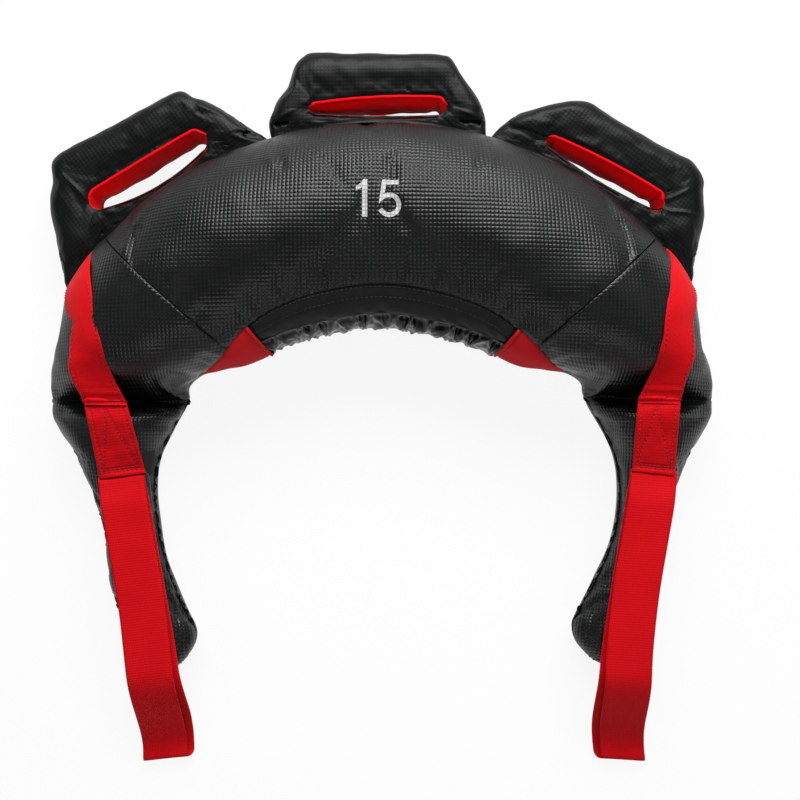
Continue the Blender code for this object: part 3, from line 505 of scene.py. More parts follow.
def front_limit(station):
    """Turn at which the front panel ends: at the collar, then down the gusset's edge."""
    place = abs(station)
    end = COLLAR_END_STATIONS[side_of(station)]
    if place <= end:
        return between(COLLAR_SEAM_TURN, COLLAR_END_TURN, (place / end) ** COLLAR_EVENNESS)
    share = min(1.0, (place - end) / (GUSSET_END_STATION - end))
    return between(COLLAR_END_TURN, 180.0, share ** GUSSET_EVENNESS[side_of(station)])


def back_limit(station):
    """Turn at which the back panel starts: behind the hem, then behind the gusset."""
    end = COLLAR_END_STATIONS[side_of(station)]
    return between(HEM_BACK_TURN, 180.0, min(1.0, max(0.0, (abs(station) - end) / (GUSSET_END_STATION - end))))


def unit(vectors):
    """Vectors of an array at length one."""
    return vectors / np.maximum(1e-9, np.linalg.norm(vectors, axis=-1, keepdims=True))


def field(points, scale, seed=0.0):
    """Smooth noise from about -1 to 1 at each point of an array, with lumps of about a scale."""
    flat = points.reshape(-1, points.shape[-1])
    values = [noise.noise(Vector((p[0] / scale + seed, p[1] / scale - seed, p[2] / scale))) for p in flat]
    return np.array(values).reshape(points.shape[:-1]) * 2.0


def grid_normals(points, wrapped=False):
    """Normals of a grid of points, whose first and last columns may be neighbours."""
    if wrapped:
        return grid_normals(np.concatenate([points[-2:], points, points[:2]]))[2:-2]
    return unit(np.cross(np.gradient(points, axis=0), np.gradient(points, axis=1)))


def run_lengths(points, axis):
    """Lengths along a grid from its first row or column, and noughts there."""
    steps = np.linalg.norm(np.diff(points, axis=axis), axis=2)
    start = np.zeros_like(np.take(steps, [0], axis=axis))
    return np.concatenate([start, np.cumsum(steps, axis=axis)], axis=axis)


def photo_scale(heights):
    """Pixels of the photograph to a metre, at heights over the floor."""
    return PHOTO_SIZE * CAMERA_LENS / CAMERA_SENSOR / (CAMERA_PLACE.z - heights)


def photo_places(points):
    """Pixels of the photograph at which the camera sees an array of points."""
    scale = photo_scale(points[..., 2])
    x = PHOTO_SIZE / 2.0 + (points[..., 0] - CAMERA_PLACE.x) * scale
    y = PHOTO_SIZE / 2.0 - (points[..., 1] - CAMERA_PLACE.y) * scale
    return np.stack([x, y], axis=-1)


def from_photo(places, heights):
    """World x and y of what the camera sees at pixels of the photograph, at known heights."""
    scale = photo_scale(heights)
    x = CAMERA_PLACE.x + (places[..., 0] - PHOTO_SIZE / 2.0) / scale
    return x, CAMERA_PLACE.y - (places[..., 1] - PHOTO_SIZE / 2.0) / scale


def photo_folds(points, lines):
    """Heights of folds that are drawn in pixels of the photograph, at an array of points."""
    places = photo_places(points)
    heights = np.zeros(points.shape[:-1])
    for path, depth, width in lines:
        path = np.array(path, float)
        nearest = np.full(heights.shape, np.inf)
        for start, end in zip(path[:-1], path[1:]):
            line = end - start
            share = np.clip(((places - start) @ line) / (line @ line), 0.0, 1.0)
            nearest = np.minimum(nearest, np.linalg.norm(places - start - share[..., None] * line, axis=-1))
        reach = np.linalg.norm(places - path.mean(axis=0), axis=-1) / np.linalg.norm(path[-1] - path[0])
        heights -= depth * bell(nearest, 0.0, width) * np.exp(-(reach / FOLD_REACH_SHARE) ** 4)
    return heights


def resample(values, positions):
    """Read an array at places along its first axis with a smooth curve through its rows."""
    last = len(values) - 1
    index = np.clip(np.floor(positions).astype(int), 0, last - 1)
    t = (positions - index).reshape((-1,) + (1,) * (values.ndim - 1))
    p0, p1 = values[np.maximum(index - 1, 0)], values[index]
    p2, p3 = values[index + 1], values[np.minimum(index + 2, last)]
    return p1 + 0.5 * t * (p2 - p0 + t * (2.0 * p0 - 5.0 * p1 + 4.0 * p2 - p3 + t * (3.0 * (p1 - p2) + p3 - p0)))


def grid_faces(columns, rows, wrap_columns=False):
    """Corners of the faces of a grid, each as column and row."""
    for i in range(columns if wrap_columns else columns - 1):
        for j in range(rows - 1):
            yield (i, j), (i + 1, j), (i + 1, j + 1), (i, j + 1)


def settle(points, normals, held, pressure, slack, cap, wrapped=False):
    """Let a grid of cloth swell under pressure, with Blender's cloth on a coarser grid, and return it.

    It moves only where it isn't held, and by no more than the cap. Slack is the share of spare cloth.
    """
    picked = []
    for axis, count in enumerate(points.shape[:2]):
        wanted = max(8, int(run_lengths(points, axis).max() / CLOTH_SPACING))
        picked.append(np.unique(np.linspace(0, count - 1, min(count, wanted)).round().astype(int)))
    grid = points[np.ix_(*picked)]
    columns, rows = grid.shape[:2]
    faces = [[(a % columns) * rows + b for a, b in face] for face in grid_faces(columns, rows, wrapped)]
    towards = np.einsum("ijk,ijk->", grid_normals(grid, wrapped), normals[np.ix_(*picked)])
    if towards < 0.0:
        faces = [face[::-1] for face in faces]
    mesh = bpy.data.meshes.new("cloth")
    mesh.from_pydata([tuple(place) for place in grid.reshape(-1, 3)], [], faces)
    cloth = bpy.data.objects.new("cloth", mesh)
    bpy.context.scene.collection.objects.link(cloth)
    group = cloth.vertex_groups.new(name="held")
    group.add([int(index) for index in np.flatnonzero(held[np.ix_(*picked)])], 1.0, "REPLACE")
    modifier = cloth.modifiers.new("cloth", "CLOTH")
    settings = modifier.settings
    settings.quality = CLOTH_QUALITY
    settings.bending_stiffness = CLOTH_STIFFNESS
    settings.vertex_group_mass = "held"
    settings.use_pressure = True
    settings.uniform_pressure_force = pressure
    settings.shrink_min = -slack
    settings.effector_weights.gravity = 0.0
    modifier.point_cache.frame_start = 1
    modifier.point_cache.frame_end = CLOTH_FRAMES
    for number in range(1, CLOTH_FRAMES + 1):
        bpy.context.scene.frame_set(number)
    shown = cloth.evaluated_get(bpy.context.evaluated_depsgraph_get())
    moved = np.array([vertex.co for vertex in shown.data.vertices]).reshape(grid.shape) - grid
    bpy.data.objects.remove(cloth, do_unlink=True)
    bpy.context.scene.frame_set(1)
    moved *= np.minimum(1.0, cap / np.maximum(1e-9, np.linalg.norm(moved, axis=-1, keepdims=True)))
    across = np.interp(np.arange(points.shape[1]), picked[1], np.arange(rows))
    moved = resample(moved.transpose(1, 0, 2), across).transpose(1, 0, 2)
    if wrapped:
        moved = np.concatenate([moved[-2:], moved, moved[:2]])
        places = np.append(picked[0], len(points))
        along = np.interp(np.arange(len(points)), places, np.arange(columns + 1)) + 2.0
    else:
        along = np.interp(np.arange(len(points)), picked[0], np.arange(columns))
    return points + resample(moved, along) * ~held[..., None]


class Patch:
    """Grid of points on the bag's skin, with its normals, its lengths along both ways and its flat pattern."""

    def __init__(self, stations, turns_at, columns, pattern_turn):
        turns = [with_edges(spread(*turns_at(station), columns)) for station in stations]
        edges = [edges_at(station)[:2] for station in stations]
        self.middles = np.array([(inner + outer) / 2.0 for inner, outer in edges])[:, None, :]
        self.points = np.array([skin_row(station, row) for station, row in zip(stations, turns)])
        self.measure()
        inward = np.array([(inner - outer).normalized() for inner, outer in edges])[:, None, :2]
        zeros = np.array([np.interp(pattern_turn, *pair) for pair in zip(turns, self.across)])[:, None]
        self.flat = self.middles[..., :2] + inward * (self.across - zeros)[..., None]
        if pattern_turn > 180.0:
            self.flat = self.flat * np.array([-1.0, 1.0])

    def measure(self):
        """Work out normals and lengths again after the points have moved."""
        self.normals = grid_normals(self.points)
        core = self.middles + np.array(ORIGIN) + np.array((0.0, 0.0, KNUCKLE_RADIUS))
        if (self.normals * (self.points - core)).sum() < 0.0:
            self.normals = -self.normals
        self.across = run_lengths(self.points, 1)
        self.along = run_lengths(self.points, 0)

    def edge_distances(self):
        """Distance of each point from the patch's start turn, end turn, first station and last station."""
        return self.across, self.across[:, -1:] - self.across, self.along, self.along[-1:] - self.along

    def lift(self, heights, least=-1.0):
        """Move the points along their normals, by no less than the least height, and measure again."""
        heights = np.maximum(heights, least)
        self.points = self.points + self.normals * heights[..., None]
        self.measure()

    def swell(self, pressure, slack, cap):
        """Let the patch swell as cloth that is sewn down along all its edges."""
        held = np.zeros(self.points.shape[:2], bool)
        held[0], held[-1], held[:, 0], held[:, -1] = True, True, True, True
        self.points = settle(self.points, self.normals, held, pressure, slack, cap)
        self.measure()

    def line(self, distance, edge):
        """Points and normals along the patch at a distance from its start or end turn."""
        order = slice(None, None, 1 if edge == 0 else -1)
        measured = self.edge_distances()[edge][:, order]
        both = np.concatenate([self.points, self.normals], axis=2)[:, order]
        rows = np.array([
            [np.interp(distance, lengths, values) for values in row.T] for lengths, row in zip(measured, both)
        ])
        return rows[:, :3], rows[:, 3:]


def seam_dip(distance):
    """Drop of the cloth towards a seam: a narrow groove in a wider soft valley."""
    narrow = SEAM_DEPTH * np.exp(-(distance / GROOVE_WIDTH) ** 1.5)
    return -narrow - PILLOW_DEPTH * np.exp(-(distance / PILLOW_WIDTH) ** 1.5)


def fine_dip(distance):
    """Drop of the cloth towards a flat seam: a narrow groove only."""
    return 0.0003 - 0.0009 * bell(distance, 0.0, 0.0013)


def puckers(distance, along, amount, pitch, reach, seed):
    """Small gathers that run away from a seam and fade out."""
    points = np.stack([along / pitch, distance / (pitch * 5.0), np.full_like(along, seed)], axis=-1)
    return amount * field(points, 1.0) * np.exp(-distance / reach) * smooth_step(distance / 0.003)


def tree_of(item):
    """Ray-casting tree over the mesh of an object."""
    vertices = [vertex.co.copy() for vertex in item.data.vertices]
    return BVHTree.FromPolygons(vertices, [list(face.vertices) for face in item.data.polygons])


def keep_outside(points, name):
    """Push points that lie in an inner piece of the CAD model out to a small gap over it."""
    tree = tree_of(frame["nodes"][name])
    for index in np.ndindex(*points.shape[:-1]):
        point = Vector(points[index])
        place, normal = tree.find_nearest(point, CORE_REACH)[:2]
        if place is not None and (point - place).dot(normal) < CORE_GAP:
            points[index] = place + normal * CORE_GAP
    return points


def link_object(name, mesh):
    """Object of a mesh in the scene."""
    item = bpy.data.objects.new(name, mesh)
    bpy.context.scene.collection.objects.link(item)
    return item


def grid_object(name, points, flat, material, wrap_columns=False, flip=False):
    """Object of a grid of points; flat holds one more column than points where it wraps."""
    columns, rows = points.shape[:2]
    faces, uvs = [], []
    for corners in grid_faces(columns, rows, wrap_columns):
        corners = corners[::-1] if flip else corners
        faces.append([(a % columns) * rows + b for a, b in corners])
        uvs.extend(flat[a][b] for a, b in corners)
    mesh = bpy.data.meshes.new(name)
    mesh.from_pydata([tuple(vertex) for vertex in points.reshape(-1, 3)], [], faces)
    mesh.uv_layers.new(name="UVMap").data.foreach_set("uv", np.asarray(uvs, float).ravel())
    mesh.materials.append(material)
    mesh.shade_smooth()
    return link_object(name, mesh)


def patch_object(name, patch, material):
    """Object of a patch, with its faces pointing out."""
    flip = (grid_normals(patch.points) * patch.normals).sum() < 0.0
    return grid_object(name, patch.points, patch.flat, material, flip=flip)


def dress(item, slot, *nodes, body=None, bend=None, fill=None):
    """Attach a piece to its body, bake its transform into its mesh where a bend is named, and hide the CAD pieces that
    it stands for. The slot and the fill are not used.
    """
    if body:
        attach(item, body)
    if bend:
        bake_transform(item)
    if nodes:
        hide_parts(*nodes)


def fix_normals(item):
    """Point the faces of a closed shape outwards."""
    shape = bmesh.new()
    shape.from_mesh(item.data)
    bmesh.ops.recalc_face_normals(shape, faces=shape.faces)
    shape.to_mesh(item.data)
    shape.free()


def add_wall(item, wall, offset):
    """Give a sheet its thickness with a modifier."""
    solidify = item.modifiers.new("wall", "SOLIDIFY")
    solidify.thickness = wall
    solidify.offset = offset


def thicken(item, wall):
    """Give a sheet its thickness, under its shown face, in its own mesh."""
    add_wall(item, wall, -1.0)
    graph = bpy.context.evaluated_depsgraph_get()
    item.data = bpy.data.meshes.new_from_object(item.evaluated_get(graph))
    item.modifiers.clear()


def sew(name, path, normals, material, slot, **where):
    """Row of single stitches along a path on a surface, as small spindles that dive in at both ends."""
    path, normals = np.asarray(path, float), np.asarray(normals, float)
    lengths = path_lengths(path)
    vertices, faces = [], []
    sides, rings = 6, 5
    for number in range(int(lengths[-1] / STITCH_PITCH)):
        start = len(vertices)
        for ring in range(rings):
            share = ring / (rings - 1)
            run = (number + 0.5) * STITCH_PITCH + (share - 0.5) * STITCH_LENGTH
            place, ahead, normal = [
                np.array([np.interp(where, lengths, values[:, axis]) for axis in range(3)])
                for where, values in ((run, path), (run + 0.0005, path), (run, normals))
            ]
            normal = unit(normal)
            aside = unit(np.cross(ahead - place, normal))
            bulge = math.sin(math.pi * between(0.08, 0.92, share))
            centre = place + normal * STITCH_RADIUS * (1.3 * bulge - 0.5)
            for side in range(sides):
                angle = 2.0 * math.pi * side / sides
                offset = math.cos(angle) * aside + math.sin(angle) * normal
                vertices.append(tuple(centre + offset * STITCH_RADIUS * (0.35 + 0.65 * bulge)))
        for ring in range(rings - 1):
            for side in range(sides):
                after = (side + 1) % sides
                low, high = start + ring * sides, start + (ring + 1) * sides
                faces.append((low + side, low + after, high + after, high + side))
        faces.append(tuple(start + side for side in range(sides)))
        faces.append(tuple(start + (rings - 1) * sides + side for side in reversed(range(sides))))
    mesh = bpy.data.meshes.new(name)
    mesh.from_pydata(vertices, [], faces)
    mesh.materials.append(material)
    mesh.shade_smooth()
    item = link_object(name, mesh)
    fix_normals(item)
    dress(item, slot, **where)


# Materials


def new_material(name):
    """Named material with its node tree, its shader and a helper that adds linked nodes."""
    material = bpy.data.materials.new(name)
    material.use_nodes = True
    tree = material.node_tree

    def add(kind, *values, **settings):
        node = tree.nodes.new("ShaderNode" + kind)
        for key, value in settings.items():
            setattr(node, key, value)
        for index, value in enumerate(values):
            if isinstance(value, bpy.types.NodeSocket):
                tree.links.new(value, node.inputs[index])
            elif value is not None:
                node.inputs[index].default_value = value
        return node

    return material, tree, tree.nodes["Principled BSDF"], add


def wave(add, length, pitch):
    """Absolute sine along a length: nought at each pitch and one between."""
    angle = add("Math", length, math.pi / pitch, operation="MULTIPLY").outputs[0]
    sine = add("Math", angle, operation="SINE").outputs[0]
    return add("Math", sine, operation="ABSOLUTE").outputs[0]


def ramp(add, value, low, high, low_value=0.0, high_value=1.0):
    """Map a range of a value to another range, held at its ends."""
    return add("MapRange", value, low, high, low_value, high_value).outputs[0]


def mix_colour(add, factor, first, second):
    """Mix of two colours, each a socket or three numbers."""
    node = add("Mix", data_type="RGBA")
    for index, value in ((0, factor), (6, first), (7, second)):
        if isinstance(value, bpy.types.NodeSocket):
            node.id_data.links.new(value, node.inputs[index])
        else:
            node.inputs[index].default_value = (*value, 1.0)
    return node.outputs[2]


def bump(add, height, strength, distance, normal=None):
    """Bump of a height."""
    node = add("Bump", strength, distance)
    node.id_data.links.new(height, node.inputs["Height"])
    if normal is not None:
        node.id_data.links.new(normal, node.inputs["Normal"])
    return node.outputs[0]


def grain(add, scale, detail=3.0):
    """Noise in the object's own place."""
    node = add("TexNoise", add("TexCoord").outputs["Object"])
    node.inputs["Scale"].default_value = scale
    node.inputs["Detail"].default_value = detail
    return node.outputs[0]


def cloth_material(name, colours, pitches, relief, roughness, patches, sheen=0.0, specular=0.5, crinkle=0.2):
    """Woven or embossed cloth: cells of two pitches, a colour that shifts in patches, and fine crinkles.

    The colours are those of the gaps between the cells, darker there as painted shade in the grooves, of a darker
    patch and of a lighter, worn patch.
    """
    material, tree, shader, add = new_material(name)
    split = add("SeparateXYZ", add("UVMap").outputs[0])
    waves = [wave(add, split.outputs[axis], pitch) for axis, pitch in enumerate(pitches)]
    raised_cell_and_gap_shade = add("Math", *waves, operation="MULTIPLY").outputs[0]
    cloudy = grain(add, patches)
    surface = mix_colour(add, ramp(add, cloudy, 0.38, 0.64), colours[1], colours[2])
    # Painted shade: the gaps between the raised cells take the first, darkest colour.
    tree.links.new(mix_colour(add, raised_cell_and_gap_shade, colours[0], surface), shader.inputs["Base Color"])
    rough = ramp(add, grain(add, patches * 3.7), 0.3, 0.7, roughness - 0.04, roughness + 0.05)
    tree.links.new(rough, shader.inputs["Roughness"])
    worn = ramp(add, grain(add, patches * 0.6), 0.35, 0.65, 0.55, 1.0)
    height = add("Math", raised_cell_and_gap_shade, worn, operation="MULTIPLY").outputs[0]
    normal = bump(add, grain(add, 260.0), crinkle, 0.0006)
    normal = bump(add, height, relief[0], relief[1], normal)
    tree.links.new(normal, shader.inputs["Normal"])
    shader.inputs["Specular IOR Level"].default_value = specular
    shader.inputs["Sheen Weight"].default_value = sheen
    shader.inputs["Sheen Roughness"].default_value = 0.4
    return material


def thread_material(name, colour):
    """Twisted sewing thread, with painted shade in the grooves between its twisted plies."""
    material, tree, shader, add = new_material(name)
    twist_shade_bands = wave(add, grain(add, 700.0), 0.12)
    # Painted shade: the thread falls to 0.6 of its colour in bands for the grooves between its twisted plies.
    deep = tuple(value * 0.6 for value in colour)
    tree.links.new(mix_colour(add, twist_shade_bands, deep, colour), shader.inputs["Base Color"])
    shader.inputs["Roughness"].default_value = 0.6
    return material


# The first colour of each cloth below is painted shade in the gaps between its cells; the other two are its own darker
# and lighter, worn patches.
BLACK_TONES_AND_GAP_SHADE = ((0.0010, 0.0013, 0.0014), (0.0024, 0.0030, 0.0031), (0.0038, 0.0046, 0.0047))
SQUARE_WEAVE = (WEAVE_PITCH, WEAVE_PITCH)
VINYL = cloth_material(
    "black_vinyl_weave", BLACK_TONES_AND_GAP_SHADE, SQUARE_WEAVE, (0.80, 0.00050), 0.37, 11.0, specular=0.36, crinkle=0.08,
)
GRIP_VINYL = cloth_material(
    "black_vinyl_grip", BLACK_TONES_AND_GAP_SHADE, SQUARE_WEAVE, (0.30, 0.00035), 0.46, 14.0, specular=0.17, crinkle=0.08,
)
NYLON = cloth_material(
    "black_nylon_collar", ((0.0020, 0.0023, 0.0024), (0.0036, 0.0041, 0.0042), (0.0052, 0.0058, 0.0060)),
    (0.0007, 0.0007), (0.25, 0.0002), 0.50, 40.0, specular=0.22, crinkle=0.25,
)
HEM_NYLON = cloth_material(
    "black_nylon_hem", ((0.0010, 0.0010, 0.0011), (0.0016, 0.0016, 0.0017), (0.0024, 0.0024, 0.0025)),
    (0.0007, 0.0007), (0.12, 0.0002), 0.22, 40.0, specular=0.16, crinkle=0.12,
)
RED_CLOTH = cloth_material(
    "red_cloth", ((0.58, 0.0022, 0.0060), (0.68, 0.0032, 0.0080), (0.78, 0.0050, 0.0110)),
    (0.0009, 0.0011), (0.35, 0.0003), 0.70, 30.0, sheen=0.02, specular=0.07,
)
GUSSET_CLOTH = cloth_material(
    "red_gusset_cloth", ((0.62, 0.009, 0.015), (0.70, 0.013, 0.020), (0.80, 0.017, 0.025)),
    (0.0008, 0.0008), (0.30, 0.0003), 0.74, 30.0, sheen=0.03, specular=0.12,
)
LINING_CLOTH = cloth_material(
    "red_lining_cloth", ((0.64, 0.0020, 0.0060), (0.76, 0.0030, 0.0080), (0.86, 0.0050, 0.0120)),
    (0.0008, 0.0008), (0.30, 0.0003), 0.66, 45.0, sheen=0.0, specular=0.05,
)
WEBBING = cloth_material(
    "red_webbing_ribs", ((0.48, 0.0018, 0.0050), (0.60, 0.0030, 0.0075), (0.68, 0.0045, 0.0100)),
    (0.00145, 0.0022), (0.60, 0.00035), 0.64, 26.0, sheen=0.02, specular=0.07,
)
PRINT = cloth_material(
    "pale_print", ((0.36, 0.36, 0.36), (0.56, 0.56, 0.56), (0.66, 0.66, 0.66)),
    SQUARE_WEAVE, (0.50, 0.0004), 0.60, 40.0, specular=0.3,
)
CANVAS = cloth_material(
    "liner_canvas", ((0.008, 0.008, 0.009), (0.014, 0.014, 0.015), (0.022, 0.022, 0.023)),
    (0.0012, 0.0012), (0.40, 0.0004), 0.88, 60.0,
)
FOAM = cloth_material(
    "foam", ((0.008, 0.008, 0.008), (0.012, 0.012, 0.012), (0.018, 0.018, 0.018)),
    (0.0010, 0.0010), (0.20, 0.0004), 0.90, 120.0, crinkle=0.5,
)
RED_THREAD = thread_material("red_thread", (0.26, 0.0020, 0.0060))
BLACK_THREAD = thread_material("black_thread", (0.010, 0.010, 0.011))


# Bag and arms. In the reliefs here and below, a bell has its place and width in metres, and a field its scale and seed


def front_relief(patch, seed):
    """Relief of a front panel: dips at its seams, gathers beside them and soft lumps."""
    start, end, first, last = patch.edge_distances()
    heights = seam_dip(start) + seam_dip(end)
    heights += puckers(start, patch.along, 0.0007, 0.012, 0.014, seed)
    heights += puckers(end, patch.along, 0.0005, 0.010, 0.010, seed + 3.0)
    inside = smooth_step(np.minimum(np.minimum(start, end), np.minimum(first, last)) / 0.012)
    heights += inside * 0.0010 * field(patch.points, 0.060, seed)
    heights += inside * 0.0004 * field(patch.points, 0.022, seed)
    return heights


def build_centre_front():
    """Front of the crescent between its radial seams."""
    stations = with_edges(spread(-PANEL_SEAM_STATION, PANEL_SEAM_STATION, 230))
    patch = Patch(stations, lambda s: (0.0, front_limit(s)), 88, 90.0)
    patch.swell(*CENTRE_SWELL)
    start, end, first, last = patch.edge_distances()
    heights = front_relief(patch, 1.0) + fine_dip(first) + fine_dip(last)
    heights += 0.0007 * bell(last, 0.0014, 0.0007)
    heights += photo_folds(patch.points, FRONT_FOLDS)
    patch.lift(heights, LEAST_LIFT)
    skin = patch_object("front_skin_centre", patch, VINYL)
    dress(skin, "black_vinyl", "front_panel_centre", body="bag", fill=0.9)
    return skin


def back_relief(patch, seed):
    """Relief of a back panel off the floor: dips at its seams and soft lumps; and the share that is off it."""
    start, end = patch.edge_distances()[:2]
    raised = smooth_step(patch.points[..., 2] / 0.010) * smooth_step(np.minimum(start, end) / 0.010)
    return seam_dip(start) + seam_dip(end) + 0.0008 * field(patch.points, 0.040, seed) * raised, raised


def build_side(side, sign):
    """Front and back skin of one end of the bag and its arm, each one cloth across the fold."""
    bag_part = with_edges(spread(PANEL_SEAM_STATION, CREASE_STATION, 60))[:-4]
    arm_part = spread(bag_part[-1], TAIL_STATION, 116)[1:-1]
    tail_turns = spread(0.0, math.pi / 2.0, 14)
    tail_part = [between(TAIL_STATION, TAIL_END_STATION - 0.002, math.sin(turn)) for turn in tail_turns]
    stations = [sign * station for station in bag_part + arm_part + tail_part]
    front = Patch(stations, lambda s: (0.0, front_limit(s)), 76, 90.0)
    front.swell(*SIDE_SWELL)
    front_heights = front_relief(front, 4.0 + sign) + photo_folds(front.points, SIDE_FOLDS[side])
    back = Patch(stations, lambda s: (back_limit(s), 360.0), 76, 270.0)
    skins = []
    for face, patch, heights in (("front", front, front_heights), ("back", back, back_relief(back, 7.0 + sign)[0])):
        patch.lift(heights + fine_dip(patch.edge_distances()[2]), LEAST_LIFT)
        skins.append(patch_object("side_" + face + "_skin_" + side, patch, VINYL))
        nodes = (face + "_panel_" + side, "arm_" + face + "_" + side)
        dress(skins[-1], "black_vinyl", *nodes, bend="arm_" + side, fill=0.8)
    return skins[0]


def build_centre_back():
    """Back of the crescent between its radial seams."""
    stations = with_edges(spread(-PANEL_SEAM_STATION, PANEL_SEAM_STATION, 150))
    patch = Patch(stations, lambda s: (back_limit(s), 360.0), 56, 270.0)
    first, last = patch.edge_distances()[2:]
    heights, raised = back_relief(patch, 9.0)
    patch.lift(heights + (fine_dip(first) + fine_dip(last)) * raised, LEAST_LIFT)
    skin = patch_object("back_skin_centre", patch, VINYL)
    dress(skin, "black_vinyl", "back_panel_centre", body="bag", fill=0.9)


def neck_stations(columns):
    """Stations of the collar and the hem, from the left gusset to the right one."""
    return with_edges(spread(-COLLAR_END_STATIONS["left"], COLLAR_END_STATIONS["right"], columns))


def build_collar():
    """Smooth collar with two rows of stitching."""
    stations = neck_stations(180)
    patch = Patch(stations, lambda s: (front_limit(s), HEM_SEAM_TURN), 30, COLLAR_SEAM_TURN)
    start, end, first, last = patch.edge_distances()
    heights = seam_dip(start) + seam_dip(first) + seam_dip(last)
    heights += puckers(end, patch.along, 0.0009, 0.010, 0.012, 12.0)
    heights += 0.0006 * field(patch.points, 0.030, 11.0) * smooth_step(end / 0.004) * smooth_step(start / 0.004)
    heights -= 0.0006 * bell(start, COLLAR_SEAMS["collar_stitches"], 0.0010)
    patch.lift(heights)
    dress(patch_object("collar_skin", patch, NYLON), "black_nylon", "neck_collar", body="bag", fill=0.8)
    for name, distance in COLLAR_SEAMS.items():
        path, normals = patch.line(distance, 0)
        sew(name, path[5:-5], normals[5:-5], BLACK_THREAD, "black_nylon", body="bag")


def build_hem():
    """Gathered hem: shiny cloth drawn up into slanted folds that cross each other."""
    stations = neck_stations(430)
    patch = Patch(stations, lambda s: (HEM_SEAM_TURN, HEM_BACK_TURN), 60, HEM_SEAM_TURN)
    share = np.linspace(0.0, 1.0, len(stations))[:, None]
    down = patch.across / patch.across[:, -1:]
    ruler = HEM_FOLDS * (share + 0.010 * np.sin(share * 31.0) + 0.005 * np.sin(share * 71.0 + 1.0))
    shown = np.clip(down / 0.62, 0.0, 1.0)
    slant = (0.62 + 0.22 * np.sin(share * 43.0)) * shown
    rising, falling = [
        bell(phase, np.round(phase), width)
        for phase, width in ((ruler + slant, 0.20), (ruler - slant + 0.10 * np.sin(share * 23.0), 0.17))
    ]
    lobes = np.abs(np.sin(math.pi * (ruler + 0.5)))
    body = smooth_step(down / 0.10) * smooth_step((1.0 - down) / 0.25)
    heights = 0.0034 * np.maximum(rising, 0.85 * falling) + 0.0015 * lobes * smooth_step(down * 1.6) - 0.0022
    recess = bell(down, 0.14, 0.07) * (1.0 - np.maximum(rising, falling))
    heights = heights * body - 0.0018 * recess
    heights += 0.0004 * field(patch.points, 0.007, 15.0) * body
    left = 1.0 - smooth_step((np.asarray(stations)[:, None] + 8.0) / 20.0)
    patch.lift(heights * between(1.0, 0.75, left) - 0.0012 * left * body)
    dress(patch_object("hem_skin", patch, HEM_NYLON), "black_nylon", "gathered_hem", body="bag", fill=0.4)


def build_gussets():
    """Red triangles beside the collar, each with a raised edge by the collar."""
    for side, sign in SIDES:
        ends = spread(COLLAR_END_STATIONS[side], GUSSET_END_STATION - 0.05, 70)
        stations = [sign * station for station in with_edges(ends)]
        patch = Patch(stations, lambda s: (front_limit(s), back_limit(s)), 56, HEM_SEAM_TURN)
        start, end, first, last = patch.edge_distances()
        heights = seam_dip(start) + seam_dip(end) + 0.0005 * field(patch.points, 0.020, 17.0 + sign)
        heights += 0.0014 * bell(first, GUSSET_RIDGE, 0.0012) - 0.0007 * bell(first, GUSSET_GROOVE, 0.0009)
        patch.lift(heights)
        skin = patch_object("gusset_skin_" + side, patch, GUSSET_CLOTH)
        dress(skin, "red_cloth", "gusset_" + side, body="bag", fill=0.7)
        column = int(np.argmin(np.abs(first[:, 20] - GUSSET_GROOVE)))
        seam = patch.points[column, 4:-30], patch.normals[column, 4:-30]
        sew("gusset_stitches_" + side, *seam, RED_THREAD, "red_cloth", body="bag")


# Handles


def handle_frame(side):
    """Frame of a handle: x along its hinge line, y away from the bag."""
    turned = Matrix.Rotation(-math.radians(HANDLE_TURNS[side]), 4, "Z")
    return Matrix.Translation(joint_place("handle_" + side + "_fold")) @ turned


def from_handle(side, rows):
    """World places of an array in a handle's frame."""
    world = handle_frame(side)
    return rows @ np.array(world.to_3x3()).T + np.array(world.translation)


def smooth_path(points, count):
    """Even points along a smooth curve through a few points."""
    dense = resample(points, np.linspace(0.0, len(points) - 1.0, 24 * len(points)))
    lengths = path_lengths(dense)
    wanted = np.linspace(0.0, lengths[-1], count)
    return np.stack([np.interp(wanted, lengths, dense[:, axis]) for axis in range(dense.shape[1])], axis=1)


def handle_outline(side):
    """Closed outline in the handle's frame: along the bag's seam, then round the grip."""
    back = handle_frame(side).inverted()
    seam = []
    for turn in spread(*BASE_SPANS[side], 90):
        point = edges_at(turn)[1] + ORIGIN
        seam.append(tuple(back @ Vector((point.x, point.y, SEAM_HEIGHT)))[:2])
    grip = [(HANDLE_HALF_BASES[side] * x, HANDLE_HEIGHTS[side] * y) for x, y in HANDLE_OUTLINE_SHARES[side]]
    grip = smooth_path(np.array([seam[-1]] + grip + [seam[0]]), 200)
    return np.array(seam[:-1] + [tuple(point) for point in grip[:-1]])


def slot_half_length(side):
    """Half the length of the slot's middle line."""
    return (SLOT_LENGTHS[side] - SLOT_WIDTHS[side]) / 2.0


def slot_reach(side, share, up):
    """Distance from the slot's middle line to its rim, at a share along the line and a direction's rise."""
    swell = np.where(np.asarray(up) > 0.0, SLOT_RISES[side], SLOT_BELLIES[side])
    end_width = SLOT_WIDTHS[side] * (1.0 + SLOT_TAPER_SHARES[side] * share)
    return end_width / 2.0 + swell * np.abs(up) * (1.0 - share ** 2)


def slot_frame(side):
    """Place and turn of a slot's middle line, so that the slot just clears the handle's root."""
    lean = math.radians(SLOT_LEANS[side])
    half = slot_half_length(side)
    drops = [float(slot_reach(side, s, -1.0)) - half * math.sin(lean) * s for s in spread(-1.0, 1.0, 4)]
    turn = np.array(((math.cos(lean), -math.sin(lean)), (math.sin(lean), math.cos(lean))))
    return np.array((SLOT_OFFSETS[side], SLOT_MARGIN + max(drops))), turn


